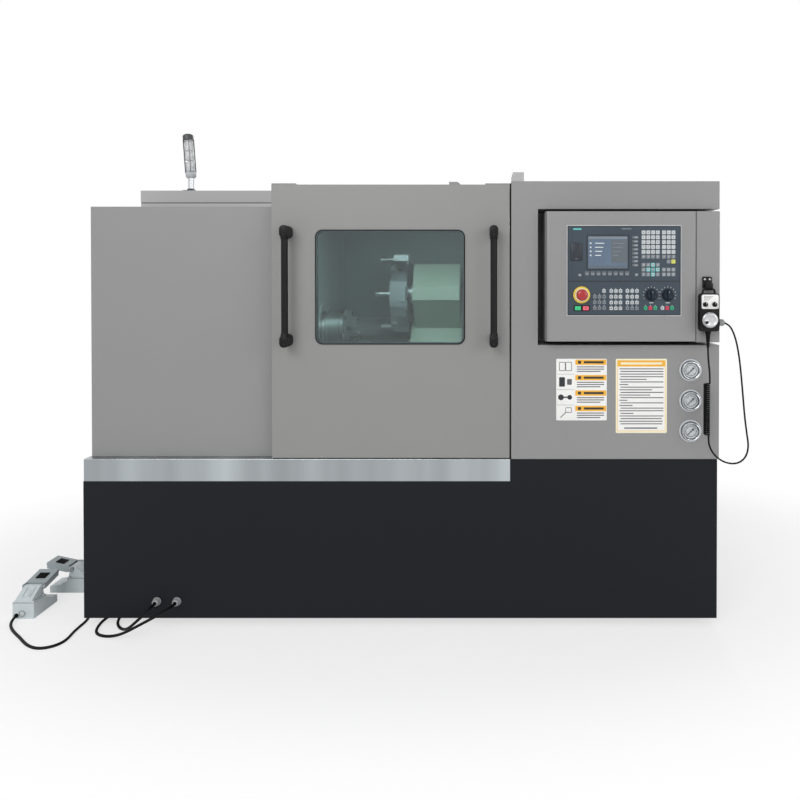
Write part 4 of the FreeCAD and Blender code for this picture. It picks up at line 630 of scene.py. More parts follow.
EDGE_WIDTHS = [
    (2.5, "base_cabinet hinge_post"),
    (2.0, "headstock_cover right_cabinet control_box"),
    (2.0, "pedal_housings pedal_front_treadle pedal_rear_treadle"),
    (1.8, "door_panel"),
    (1.5, "rear_door pendant_body"),
    (1.2, "rear_lid"),
    (1.0, "rear_sides rear_panel gutter_band pendant_holder"),
    (0.6, "display_panel machine_panel")]
FLAT_WITHIN = 1.0      # degrees between faces that are merged into one
ROUNDED_ABOVE = 30.0   # degrees between faces from which an edge is rounded


def soften(node, width):
    """Rounds a node's edges a little, as folded and painted sheet has them."""
    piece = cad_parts[node]
    weld = piece.modifiers.new("weld", "WELD")
    weld.merge_threshold = 0.00001
    flat = piece.modifiers.new("flat", "DECIMATE")
    flat.decimate_type = "DISSOLVE"
    flat.angle_limit = math.radians(FLAT_WITHIN)
    bevel = piece.modifiers.new("edges", "BEVEL")
    bevel.width = width * MM
    bevel.segments = 2
    bevel.limit_method = "ANGLE"
    bevel.angle_limit = math.radians(ROUNDED_ABOVE)
    bevel.harden_normals = False


for finish, nodes in FINISHES:
    for node in nodes.split():
        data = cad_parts[node].data
        data.materials.clear()
        data.materials.append(finish)
for width, nodes in EDGE_WIDTHS:
    for node in nodes.split():
        soften(node, width)


# -------- driving places, in millimetres
FRONT = corners("right_cabinet")[0].y
SILL = corners("gutter_band")[1].z
DOOR_LOW, DOOR_HIGH = corners("door_panel")
DOOR_FACE = FRONT + 5.0
LID_LOW, LID_HIGH = corners("rear_lid")
REAR_FACE = LID_HIGH.y - 2.0
BOX_LOW, BOX_HIGH = corners("control_box")
POST_LOW, POST_HIGH = corners("hinge_post")
SPINDLE = (-150, 1080)   # place of the spindle's axis, which runs to the right
BED_DROP = 250           # how far the bed's guideways lie below that axis, square to the slope
BED = shift(0, SPINDLE[0] + BED_DROP * HALF_ROOT, SPINDLE[1] - BED_DROP * HALF_ROOT) @ tilt(45)


# -------- operator panel
# The panel's pieces are drawn from the top left corner of its face: x runs to the right, z is
# negative on the panel and y is negative in front of it.
PANEL_FACE = BOX_LOW.y - 4.0
PANEL_LOW, PANEL_HIGH = corners("machine_panel")
PANEL_TOP = corners("display_panel")[1].z
PANEL = shift(PANEL_LOW.x, PANEL_FACE, PANEL_TOP)
PANEL_WIDTH = PANEL_HIGH.x - PANEL_LOW.x
PANEL_FOOT = PANEL_LOW.z - PANEL_TOP
PANEL_SPLIT = corners("display_panel")[0].z - 0.5 - PANEL_TOP
KEY = 14.0
KEY_FACE = -2.4
KEY_DEPTH = 2.6
KEY_SLACK = 0.3     # by which a cap is larger than its named size
LETTERS = 281.0     # middle of the first column of letters
NUMBERS = 356.5     # middle of the first column of numbers
PITCH = 17.5
CURSOR_STEP = 17.8  # step between the rows of the cursor keys


def fuse(form, name):
    """Ends a form that is fixed to the control box's panel."""
    form.become(name, "control_unit", "panel_grey")


def key_cap(form, finish, x, z, width=KEY, height=KEY):
    form.tile(finish, (x, z), (width + KEY_SLACK, height + KEY_SLACK), KEY_FACE, KEY_DEPTH, 1.6, 0.5)


def legend(form, ink, words, x, z):
    form.text(ink, words, (x, KEY_FACE - 0.12, z), 7.5)


def letter_keys():
    """Letters beside numbers, in six rows; the last row is darker."""
    form = Form(PANEL)
    for left, columns, words in ((LETTERS, 4, "ABCDEFGHJKLMNPQRSTUVWXYZ"),
                                 (NUMBERS, 3, "789456123-0./*+=()")):
        for i, word in enumerate(words):
            row, column = divmod(i, columns)
            finish, ink = (KEY_GREY, LEGEND_PALE) if row == 5 else (KEY_WHITE, LEGEND)
            x, z = left + PITCH * column, -24.0 - 18.0 * row
            key_cap(form, finish, x, z)
            legend(form, ink, word, x, z)
    fuse(form, "letter_keys")


def arrow_key(form, x, z, face, turn):
    key_cap(form, KEY_TURQUOISE, x, z)
    form.tile(KEY_WHITE, (x, z), (9.5, 9.5), face, 0.6, 1.2)
    form.spoke(LEGEND, face - 0.2, (-3.2, 1.0), 1.4, turn, (x, z))
    tip = Vector((x, face - 0.2, z)) + polar(3.6, turn)
    base = tip - polar(3.4, turn)
    side = polar(2.6, turn + 90)
    form.prism(LEGEND, [tip, base + side, base - side], TO_BACK * 0.3)


def cursor_block(form):
    """Four arrows round a middle key, and a pair of pale bars on each key about them."""
    arrows = {(0, 2): 0, (1, 3): 90, (2, 2): 180, (1, 1): 270}
    face = KEY_FACE - 0.3
    for row in range(3):
        for column in range(4):
            x, z = LETTERS + PITCH * column, -144.0 - CURSOR_STEP * row
            if (row, column) in arrows:
                arrow_key(form, x, z, face, arrows[(row, column)])
            elif (row, column) == (1, 2):
                key_cap(form, KEY_TURQUOISE, x, z)
                form.tile(KEY_GREY, (x, z), (10.5, 10.5), face, 0.6, 1.2)
                form.border(LEGEND_PALE, around(x, 5.0), around(z, 5.0), face - 0.2, 0.5, 0.9, 2.5)
            else:
                key_cap(form, KEY_GREY, x, z)
                for level in (-2.0, 2.0):
                    size = (7.0 - row * 1.5, 1.1)
                    form.tile(LEGEND_PALE, (x, z + level), size, face + 0.1, 0.4, 0.3)


def cursor_keys():
    """The cursor block, six keys with frames, an information key and a yellow one."""
    form = Form(PANEL)
    cursor_block(form)
    for i in range(6):
        x, z = NUMBERS + PITCH * (i % 3), -161.8 - CURSOR_STEP * (i // 3)
        key_cap(form, KEY_GREY, x, z)
        form.border(LEGEND_PALE, around(x, 8.0), around(z, 6.5), KEY_FACE - 0.2, 0.5, 0.9, 1.0)
    x, z = NUMBERS + PITCH, -132.0
    key_cap(form, KEY_GREY, x, z)
    legend(form, LEGEND_PALE, "i", x, z)
    x += PITCH
    key_cap(form, KEY_YELLOW, x, z)
    form.border(LEGEND, around(x, 6.5), around(z, 6.5), KEY_FACE - 0.2, 0.5, 1.0, 1.0)
    fuse(form, "cursor_keys")


def soft_keys():
    """Keys under and beside the screen, each with a raised field, and two single keys."""
    form = Form(PANEL)
    face = KEY_FACE - 0.5
    for i in range(8):
        x, z = 71.5 + 21.2 * i, -176.0
        key_cap(form, KEY_DIM, x, z, 15.5, 15.5)
        field = [(x + dx, face, z + dz) for dx, dz in ((-7, 1.5), (7, 1.5), (4.5, -7), (-4.5, -7))]
        form.prism(KEY_GREY, field, TO_BACK * 1.0, 0.25)
        x, z = 253.0, -42.5 - 14.7 * i
        key_cap(form, KEY_DIM, x - 3.0, z, 22.0, 10.5)
        form.tile(KEY_GREY, (x, z), (14.0, 6.4), face, 1.0, 1.0, 0.2)
        form.spoke(LEGEND_PALE, KEY_FACE - 0.8, (-4.0, 4.0), 1.0, 90, (x, z))
    for x, z, width, height in ((45.0, -182.0, 11.0, 9.0), (255.0, -181.0, 12.0, 10.0)):
        key_cap(form, KEY_GREY, x, z, width, height)
        form.spoke(LEGEND_PALE, KEY_FACE - 0.3, (-2.5, 2.5), 1.4, 0, (x, z))
    fuse(form, "soft_keys")


def sign(form, x, z, kind):
    """A small plain mark on a machine key: bar, frame, dot, cross or wedge."""
    face = KEY_FACE - 0.2
    reach = (-3.5, 3.5)
    if kind == 0:
        form.spoke(LEGEND, face, reach, 1.6, 90, (x, z))
    elif kind == 1:
        form.border(LEGEND, around(x, 7.0), around(z, 5.5), face, 0.4, 1.0, 1.2)
    elif kind == 2:
        form.disc(LEGEND, 2.4, (0, 0.4), (x, face + 0.4, z), segments=16)
    elif kind == 3:
        form.spoke(LEGEND, face, reach, 1.3, 90, (x, z))
        form.spoke(LEGEND, face - 0.1, reach, 1.3, 0, (x, z))
    else:
        wedge = [(x - 3, face, z - 2.6), (x + 3, face, z - 2.6), (x, face, z + 3)]
        form.prism(LEGEND, wedge, TO_BACK * 0.4)


def key_group(form, left, top, pitch_x, pitch_z, rows):
    """Small keys whose finishes are given row by row, with a pale wedge above each."""
    face = -0.6
    for row, finishes in enumerate(rows):
        for column, finish in enumerate(finishes):
            x, z = left + pitch_x * column, top - pitch_z * row
            key_cap(form, finish, x, z, 12.4, 12.4)
            sign(form, x, z, (row * 3 + column * 2 + len(finishes)) % 5)
            wedge = [(x - 1.7, face, z + 8.0), (x + 1.7, face, z + 8.0), (x, face, z + 11.6)]
            form.prism(LEGEND_PALE, wedge, TO_BACK * 0.8)


def machine_keys():
    """Six groups of small keys along the foot of the panel."""
    form = Form(PANEL)
    white, grey = (KEY_WHITE,) * 3, (KEY_GREY,) * 3
    top, low = PANEL_FOOT + 90.0, PANEL_FOOT + 26.5
    key_group(form, 100.5, PANEL_FOOT + 68.5, 17.4, 21.0, [grey] * 3)
    key_group(form, 134.5, top, 17.4, 21.0, [white[:1]])
    key_group(form, 161.5, top, 17.1, 21.5, [white] * 4)
    key_group(form, 221.5, top, 17.6, 21.5, [white] * 3 + [grey])
    key_group(form, 289.0, low, 17.8, 18.0, [(KEY_GREEN, KEY_RED, KEY_GREEN)])
    key_group(form, 351.5, low, 17.8, 18.0, [(KEY_WHITE, KEY_RED, KEY_GREEN)])
    fuse(form, "machine_keys")


def screen():
    """Display with its bezel, and on it plain fields such as a control shows."""
    form = Form(PANEL)
    form.border(PANEL_DARK, (70, 228), (-163, -32), -1.2, 2.2, 5.0, 5.0)
    form.slab(SCREEN, (74, 224), (-159, -36), 0.2, 1.0, 1.5)
    form.slab(KEY_GREY, (77, 221), (-48, -40), 0, 0.4, 0.6)
    form.slab(KEY_DIM, (162, 221), (-137, -52), 0, 0.4, 0.6)
    for row in range(4):
        level = -64 - 15 * row
        form.slab(LEGEND_PALE, (82, 88), around(level, 5.0), -0.1, 0.4, 0.5)
        form.slab(LEGEND_PALE, (102, 136 - 4 * row), around(level, 3.2), -0.1, 0.4, 0.5)
        form.slab(KEY_GREY, (167, 210 - 7 * row), around(level, 2.4), -0.2, 0.4, 0.5)
    for i in range(8):
        form.slab(KEY_DIM, (77 + 18.2 * i, 93 + 18.2 * i), (-156, -147), 0, 0.4, 0.6)
    fuse(form, "screen")


def panel_trim():
    """Edge of the panels, the joint between them, the port door and the plain top bars."""
    form = Form(PANEL)
    form.border(PANEL_DARK, inset((0, PANEL_WIDTH), -0.5), inset((PANEL_FOOT, 0), -0.5), -0.8, 3.0, 3.2, 2.0)
    form.border(ALUMINIUM, inset((0, PANEL_WIDTH), -3.5), inset((PANEL_FOOT, 0), -3.5), 2.4, 1.4, 3.2, 4.0)
    form.slab(PANEL_DARK, (2, PANEL_WIDTH - 2), around(PANEL_SPLIT, 4.0), -0.5, 2.0, 0.5)
    form.slab(PANEL_DARK, around(16.0, 1.2), (PANEL_SPLIT + 6, -6), -0.3, 1.0, 0.4)
    form.slab(KEY_TURQUOISE, (20, 51), around(-11.5, 6.0), -0.5, 1.0, 1.0)
    form.slab(KEY_GREY, (200, 236), around(-10.5, 3.4), -0.4, 1.0, 0.8)
    form.slab(PANEL_DARK, (11, 53), (-128, -64), -2.6, 3.0, 3.0, 0.8)
    form.border(PANEL_DARK, (9, 55), (-130, -62), -0.5, 1.0, 1.2, 4.0)
    form.tile(KEY_GREY, (32, -122), (12, 2.0), -3.0, 0.8, 0.8)
    fuse(form, "panel_trim")


def on_face(node):
    """The place on the panel's face where a knob or a button stands."""
    centre = middle(node)
    return shift(centre.x, PANEL_FACE, centre.z)


def dial_marks():
    """Scale marks round the two override knobs, with a dark disc under each and a bar below."""
    form = Form()
    for node in ("feed_knob", "spindle_knob"):
        form.place = on_face(node)
        form.lathe(PANEL_DARK, [(0, -0.5), (24.5, -0.5), (24.5, 0.2), (24.0, 0.4), (0, 0.4)])
        for i in range(11):
            form.spoke(LEGEND_PALE, -0.4, (27.5, 31.5), 1.6, 23 * i - 115)
        form.tile(LEGEND_PALE, (0, -29.5), (15, 2.6), -0.4, 0.8, 0.8)
    fuse(form, "dial_marks")


def override_knob(node, body):
    """Knob with a fluted skirt and a dished face; its grip is a rib with a pale pointer."""
    form = Form(on_face(node))
    form.lathe(KNOB_NAVY, [(0, 0), (22.0, 0), (22.3, 1.5), (21.4, 3.0), (19.5, 4.5), (17.6, 15.0),
                           (16.4, 16.6), (14.6, 17.0), (13.6, 16.2), (0, 16.0)], (0, -0.6, 0), segments=48)
    for i in range(24):
        form.tube(KNOB_NAVY, [polar(19.4, 15 * i, -5), polar(17.5, 15 * i, -15)], 1.1, 6)
    form.box(KNOB_NAVY, (-3.6, 3.6), (-24, -15.5), (-16, 16), 1.6)
    form.box(KEY_GREY, (-0.9, 0.9), (-24.3, -23.0), (6, 15), 0.3)
    form.become(node + "_cap", body, "knob_black", node)


def emergency_stop():
    """Yellow collar with a pale ring, and a red mushroom head on its black stem."""
    form = Form(on_face("estop_button"))
    form.ring(ESTOP_YELLOW, [(11.4, -1), (31.0, -1), (31.4, 3.0), (30.6, 5.2), (29.0, 6.0), (11.4, 6.0)],
              segments=56)
    form.ring(PLATE_CREAM, [(21.0, 5.5), (25.0, 5.5), (25.0, 6.3), (21.0, 6.3)], segments=48)
    fuse(form, "stop_collar")
    head = Form(form.place)
    head.lathe(ESTOP_RED, [(0, 14), (17.5, 14), (20.2, 15.2), (21.2, 17.5), (21.0, 20.5), (19.0, 24.0),
                           (14.5, 26.4), (8.0, 27.5), (0, 27.9)], segments=48)
    head.disc(BLACK_PLASTIC, 10.6, (1, 14.5), segments=32)
    head.become("stop_head", "estop", "estop_red", "estop_button")


def push_button(node, body, finish, slot, upright):
    """Lit cap in a black surround; its mark is an upright bar, or else a round frame."""
    surround = Form(on_face(node))
    surround.border(BLACK_PLASTIC, around(0, 29.5), around(0, 21.5), -2.2, 3.2, 3.6, 4.5)
    fuse(surround, node + "_surround")
    cap = Form(surround.place)
    cap.tile(finish, (0, 0), (21.6, 15.0), -4.0, 6.0, 2.4, 0.8)
    if upright:
        cap.spoke(LEGEND, -4.2, (-3.2, 3.2), 1.3, 0)
    else:
        cap.border(LEGEND, around(0, 6.5), around(0, 6.5), -4.2, 0.4, 1.1, 3.0)
    cap.become(node + "_cap", body, slot, node)


# -------- gauges and plates
GAUGE_LEVELS = (977.0, 861.5, 747.0)
NEEDLE = 225             # degrees at which a needle rests
PLATE_FACE = FRONT - 1.2
PLATE_TOP = 1020.0
NOTICE_ROW = 58.25       # height of one of the four rows of the notice plate
BAR_SHARES = (1.0, 1.0, 1.0, 1.0, 0.62, 1.0, 0.2, 1.0, 0.74, 1.0, 0.7, 1.0, 0.18, 1.0, 0.3, 1.0, 1.0,
              0.3, 1.0, 0.96, 0.98, 0.97)


def gauge_dial(form):
    """Printed dial with its scale, numbers and a needle at rest; a dark ring at its rim is painted shade."""
    # Dark ring at the dial's rim, inside the bezel: painted shade.
    form.ring(GAUGE_INK_SHADE_REFLECTION, [(26.2, 9), (29.8, 9), (29.8, 12.4), (28.2, 12.4)])
    form.disc(DIAL, 29.4, (7.5, 9.2), segments=64)
    for i in range(31):
        start, width = (20.5, 1.1) if i % 5 == 0 else (22.8, 0.6)
        form.spoke(GAUGE_INK_SHADE_REFLECTION, -9.5, (start, 25.6), width, 9 * i - 135, thick=0.3)
    form.ring(GAUGE_INK_SHADE_REFLECTION, [(18.6, 9.1), (20.4, 9.1), (20.4, 9.5), (18.6, 9.5)])
    for i in range(4):
        form.text(GAUGE_INK_SHADE_REFLECTION, str(2 * i), polar(15.5, 90 * i - 135, -9.5), 6.5)
    form.spoke(GAUGE_INK_SHADE_REFLECTION, -11.2, (-10.0, 21.0), 3.2, NEEDLE, thick=0.8)
    form.disc(GAUGE_INK_SHADE_REFLECTION, 4.2, (0, 1.0), polar(-10.5, NEEDLE, -10.2))
    form.lathe(BLACK_PLASTIC, [(0, 9), (3.0, 9), (2.6, 12.6), (0, 12.9)], segments=20)


def gauges():
    """Three panel gauges: flange with screws, bezel, dial and a glass; a dark ring round the bezel's foot is
    a painted reflection.
    """
    form = Form()
    for level in GAUGE_LEVELS:
        form.place = shift(middle("pressure_gauges").x, FRONT, level)
        form.ring(GAUGE_FLANGE, [(30.0, 0), (42.0, 0), (42.3, 1.6), (41.0, 3.2), (36.5, 3.6), (30.0, 3.6)])
        form.ring(CHROME, [(29.0, 3), (35.0, 3), (35.4, 6.0), (35.0, 13.5), (33.6, 16.2), (31.6, 16.9),
                           (30.2, 16.2), (29.6, 13.0), (29.0, 8.0)])
        # Dark ring at the bezel's foot on the flange: painted reflection of the chrome.
        form.ring(GAUGE_INK_SHADE_REFLECTION, [(34.8, 3), (36.9, 3), (36.9, 4.4), (34.8, 4.4)])
        gauge_dial(form)
        form.lathe(CLEAR, [(0, 13.4), (29.9, 13.4), (29.9, 14.6), (0, 15.0)], segments=48)
        for i in range(3):
            form.screw(polar(38.7, 60 + 120 * i, -3.4), radius=2.3, finish=ALUMINIUM)
    form.become("gauge_faces", "machine", "gauge_steel", "pressure_gauges")


def figure(form, row, level):
    """The plain figure in a row of the notice plate: frames, fields, joined dots or a rod."""
    if row == 0:
        for span in ((11, 35), (35, 59)):
            form.border(PLATE_GREY, span, around(level, 34), -0.3, 0.5, 2.2, 3.0)
    elif row == 1:
        form.slab(LEGEND, (11, 33), around(level, 36), -0.3, 0.5, 3.0)
        form.slab(PLATE_GREY, (41, 59), around(level, 22), -0.3, 0.5, 3.0)
    elif row == 2:
        for x, radius in ((18, 11.0), (51, 9.0)):
            form.disc(LEGEND, radius, (0, 0.5), (x, 0.2, level), segments=32)
        form.spoke(PLATE_GREY, -0.3, (-7, 8), 6.0, 90, (35, level), 0.5)
    else:
        form.spoke(PLATE_GREY, -0.3, (-26, 4), 3.0, 45, (35, level), 0.5)
        form.border(PLATE_GREY, (35, 59), (level, level + 20), -0.3, 0.5, 2.0, 4.0)


def notice_plate():
    """White plate of four rows: a plain figure, a coloured field and three grey bars in each."""
    form = Form(shift(590.0, PLATE_FACE, PLATE_TOP))
    form.slab(PLATE_WHITE, (0, 191), (-4 * NOTICE_ROW, 0), 0, 1.4, 4.0, 0.3)
    for row in range(4):
        form.place = shift(590.0, PLATE_FACE, PLATE_TOP - NOTICE_ROW * row)
        form.slab(PLATE_ORANGE, (72, 189), (-23, -3), -0.3, 0.6, 1.0)
        form.slab(LEGEND, (82, 94), around(-13, 11), -0.5, 0.4, 2.0)
        form.slab(LEGEND, (104, 179), around(-13, 8), -0.5, 0.4, 1.0)
        for right, level in ((181, -30.5), (181, -39.0), (167, -47.5)):
            form.slab(PLATE_GREY, (78, right), around(level, 3.6), -0.3, 0.5, 0.8)
        if row:
            form.slab(PLATE_GREY, (3, 68), around(0, 0.9), -0.3, 0.5, 0.3)
        figure(form, row, -NOTICE_ROW / 2)
    form.become("notice_plate", "machine", "panel_grey")


def guide_plate():
    """Cream plate with a coloured head and edge, and rows of grey bars."""
    form = Form(shift(815.0, PLATE_FACE, PLATE_TOP))
    form.slab(PLATE_CREAM, (0, 193), (-281, 0), 0, 1.4, 5.0, 0.3)
    form.slab(PLATE_WHITE, (8, 185), (-271, -30), -0.2, 0.4, 1.0)
    form.border(PLATE_ORANGE, (6, 187), (-273, -6), -0.3, 0.5, 1.2, 1.5)
    form.slab(PLATE_ORANGE, (6, 187), (-29, -6), -0.4, 0.6, 1.5)
    form.slab(PLATE_CREAM, (18, 175), around(-17.5, 8), -0.6, 0.4, 1.0)
    for row, share in enumerate(BAR_SHARES):
        left = 14 + 4 * (row % 2)
        span = (left, left + (180 - left) * share)
        form.slab(PLATE_GREY, span, around(-38 - 9.9 * row, 3.6), -0.4, 0.5, 0.8)
    form.slab(PLATE_GREY, (32, 157), around(-262, 5.0), -0.4, 0.5, 0.8)
    form.become("guide_plate", "machine", "panel_grey")


# -------- door
def door_handles():
    """Upright tubes between moulded feet, each foot held by two socket screws."""
    form = Form()
    low, high = corners("door_handles")
    reach = 55.0
    y = DOOR_FACE - reach
    for x in (low.x + 16.5, high.x - 16.5):
        form.tube(BLACK_PLASTIC, [(x, y, low.z + 8), (x, y, high.z - 8)], 12.5, 28)
        for end, inward in ((low.z, 1), (high.z, -1)):
            span = sorted((end, end + inward * 46))
            form.slab(BLACK_PLASTIC, around(x, 32), span, y - 15, reach + 15, 13.0, 3.0)
            form.lathe(BLACK_PLASTIC, [(0, 0), (15.5, 0), (14.0, 6.0), (12.7, 9.0), (0, 9.0)],
                       (x, y, end + inward * 44), UP * inward, 28)
            for level in inset(span, 12):
                form.screw((x, y - 15, level), radius=3.4)
    form.become("handle_bars", "door", "handle_black", "door_handles")


def window_trim():
    """Rolled edge of the door's cut-out, the seal's two lips and the inner guard frame; the black outer lip
    beside the grey inner one is a painted reflection.
    """
    form = Form()
    low, high = corners("window_seal")
    x, z = (low.x, high.x), (low.z, high.z)
    guard = DOOR_FACE + 15.0
    for finish, by, y, thick, width, radius in (
            (DOOR_PAINT, -3, DOOR_FACE - 1.2, 2.4, 3.2, 31.0),
            # Seal of dark rubber; its outer lip black and its inner lip grey paint the dark reflection line
            # along the window's edge.
            (SOFT_BLACK, 0.5, DOOR_FACE - 2.6, 3.0, 4.0, 27.5),
            (SEAL_GREY, 4.3, DOOR_FACE - 2.0, 2.4, 3.4, 23.7),
            (TOOL_BLACK, 1, guard, 4.0, 7.0, 27.0)):
        form.border(finish, inset(x, by), inset(z, by), y, thick, width, radius)
    for side in inset(x, 4.5):
        for k in range(5):
            level = low.z + 40 + k * (high.z - low.z - 80) / 4
            form.screw((side, guard - 0.5, level), radius=2.6)
    form.become("window_trim", "door", "seal_rubber")


# -------- pendant
# Its case, wheel and knobs are drawn from the top left corner of its front, as the panel is.
PENDANT_FRONT = corners("pendant_wheel")[1].y + 0.3
PENDANT = shift(1112.0, PENDANT_FRONT, 1268.0)
CORD_DEPTH = -808.0 - PENDANT_FRONT   # from the front to the cord and the bail
KNOB_LEVEL = -40
AXIS_KNOB = 17
STEP_KNOB = 51


def pendant_face(form):
    """White plate with grey bars, the knobs' scales and plain letters and numbers."""
    form.slab(PLATE_WHITE, (4, 66), (-56, -4), -1.4, 2.0, 6.0, 0.4)
    face = -1.6
    for row in range(4):
        form.slab(PLATE_GREY, (12, 46 - 5 * row), around(-11 - 4.2 * row, 1.4), face, 0.4, 0.4)
    for x in (AXIS_KNOB, STEP_KNOB):
        for k in range(5):
            form.spoke(LEGEND, face, (10.0, 12.4), 0.9, 30 * k - 60, (x, KNOB_LEVEL))
    for words, x in (("1", STEP_KNOB - 10.5), ("10", STEP_KNOB + 9.0), ("X", AXIS_KNOB - 9.5),
                     ("Z", AXIS_KNOB + 9.5)):
        form.text(LEGEND, words, (x, face - 0.1, KNOB_LEVEL - 10), 5.0)


def pendant_case():
    """Moulded case in two halves with a grip on each side, face plate, bail and strain relief."""
    form = Form(PENDANT)
    form.slab(BLACK_PLASTIC, (0, 70), (-139, 0), 0, 20.0, 9.0, 2.4)
    form.slab(BLACK_PLASTIC, (1, 69), (-138, -1), 20.0, 14.0, 8.0, 2.0)
    form.border(SOFT_BLACK, (-0.4, 70.4), (-139.4, 0.4), 18.6, 2.4, 3.0, 9.0)
    for side in (-0.6, 70.6):
        for k in range(9):
            form.box(SOFT_BLACK, around(side, 2.4), (5, 30), around(6.0 * k - 117, 3.0), 0.8)
    pendant_face(form)
    for x in (7, 63):
        form.screw((x, 0, -131), radius=3.0)
    arch = ((-22, -4), (-22, 8), (-20, 13), (-15, 15.5), (15, 15.5), (20, 13), (22, 8), (22, -4))
    form.tube(BLACK_PLASTIC, [(35 + dx, CORD_DEPTH, dz) for dx, dz in arch], 4.0, 14)
    profile = [(0, -1), (10.5, -1), (10.5, 6.0)]
    for k in range(8):
        at, radius = 8.0 + 6.0 * k, 9.2 - 0.5 * k
        profile += [(radius, at), (radius, at + 3.4), (radius - 1.4, at + 3.8), (radius - 1.4, at + 5.6)]
    profile += [(5.2, 56.5), (5.0, 60.0), (0, 60.0)]
    form.lathe(SOFT_BLACK, profile, (33, CORD_DEPTH, -139), -UP, 28)
    form.become("pendant_case", "machine", "pendant_black", "pendant_body")


def selector_knob(node, body, x):
    """Round knob with a grip across it and a white pointer."""
    form = Form(PENDANT @ shift(x, -1.4, KNOB_LEVEL))
    form.lathe(BLACK_PLASTIC, [(0, 0), (8.8, 0), (9.0, 1.6), (8.0, 3.0), (7.4, 11.0), (6.6, 12.0),
                               (0, 12.0)], segments=32)
    form.box(BLACK_PLASTIC, (-2.2, 2.2), (-15.0, -11), (-7.4, 7.4), 0.9)
    form.box(PLATE_WHITE, (-0.6, 0.6), (-15.3, -14), (1, 7), 0.2)
    form.become(node + "_cap", body, "knob_black", node)


def hand_wheel():
    """Pulse wheel: knurled rim, scale ring, dished face with a hub and a small spinner."""
    form = Form(PENDANT @ shift(34, -0.3, -97))
    form.disc(BLACK_PLASTIC, 29.8, (0, 2.4), segments=56)
    form.lathe(ALUMINIUM, [(0, 2.2), (29.2, 2.2), (29.2, 5.0), (27.6, 7.4), (25.2, 8.4), (25.2, 13.6),
                           (24.0, 15.0), (21.0, 15.4), (19.6, 14.4), (8.0, 13.6), (7.0, 14.6),
                           (0, 15.0)], segments=64)
    for i in range(60):
        foot = polar(25.3, 6 * i, -9)
        form.tube(ALUMINIUM, [foot, foot + TO_FRONT * 5], 0.7, 5)
        end = 27.3 if i % 5 else 27.8
        form.spoke(LEGEND, -8.6, (25.6, end), 0.5, 6 * i, thick=0.8)
    spinner = (-16, -14, -8)
    form.disc(CHROME, 3.0, (0, 2.0), spinner)
    form.lathe(BLACK_PLASTIC, [(0, 1.5), (4.4, 1.5), (5.6, 3.5), (5.8, 9.0), (4.8, 11.6), (2.4, 12.6),
                               (0, 12.8)], spinner, segments=24)
    form.become("pulse_wheel", "hand_wheel", "pulley_metal", "pendant_wheel")


def holder():
    """Back plate with two pale screws and an upturned hook under the bail."""
    form = Form(shift(1130.0, POST_LOW.y, 1330.0))
    form.slab(BLACK_PLASTIC, (0, 34), (-42, 0), -6, 6.0, 4.0, 1.0)
    hook = ((-1, -44), (-34, -44), (-34, -24), (-30, -24), (-30, -38), (-1, -38))
    form.prism(BLACK_PLASTIC, [(4, y, z) for y, z in hook], TO_RIGHT * 26, 1.2)
    for x in (8, 26):
        form.screw((x, -6, -10), radius=4.2, finish=ALUMINIUM)
    form.become("holder_hook", "machine", "pendant_black", "pendant_holder")


# -------- signal lamp and glands
LAMP_X, LAMP_Y = -995.0, -250.0
LAMP_LEAN = math.radians(-4)


def signal_column():
    """Ribbed clear column round a pale core, between a pale collar and a dark cap, with rods."""
    form = Form()
    foot = Vector((LAMP_X, LAMP_Y, corners("tower_foot")[1].z))
    axis = Vector((math.sin(LAMP_LEAN), 0, math.cos(LAMP_LEAN)))
    form.lathe(KEY_WHITE, [(0, 0), (16, 0), (22, 7), (23, 22), (22.5, 24), (0, 24)], foot - axis, axis)
    outer = [(0, 24), (19.2, 24)]
    for k in range(16):
        at = 27 + 9 * k
        outer += [(20.2, at), (20.2, at + 5.5), (19.4, at + 6.5), (19.4, at + 8.5)]
    outer += [(19.4, 172), (0, 172)]
    form.lathe(CLEAR, outer, foot, axis, 48)
    for k in range(3):
        form.lathe(LAMP_CORE, [(0, 0), (13, 0), (15, 3), (15, 40), (13, 43), (0, 43)],
                   foot + axis * (30 + 46 * k), axis, 32)
    for k in range(4):
        angle = math.radians(90 * k - 23)
        side = axis.cross(TO_BACK) * math.cos(angle) + TO_BACK * math.sin(angle)
        out, radius = (20.4, 1.0) if k % 2 else (21.6, 2.2)
        rod = foot + axis * 22 + side * out
        form.tube(LAMP_DARK, [rod, rod + axis * 150], radius, 10)
    form.lathe(LAMP_DARK, [(0, 170), (23.4, 170), (23.6, 186), (21, 192), (14, 196), (0, 197)], foot, axis)
    form.become("signal_column", "machine", "lamp_clear", "tower_lens")


def signal_stem():
    """Bright stem on a dark foot that four screws hold on the lid."""
    form = Form(shift(LAMP_X, LAMP_Y, LID_HIGH.z))
    form.box(LAMP_DARK, (-28, 28), (-28, 28), (0, 6), 1.5)
    form.lathe(LAMP_DARK, [(0, 5), (20, 5), (18, 12), (14, 15), (0, 15)], axis=UP, segments=32)
    height = corners("tower_foot")[1].z - LID_HIGH.z
    form.disc(ALUMINIUM, 12.8, (10, height), axis=UP, segments=32)
    for x in (-20, 20):
        for y in (-20, 20):
            form.screw((x, y, 6), UP, 3.6, ALUMINIUM)
    form.become("signal_stem", "machine", "lamp_stem", "tower_foot")


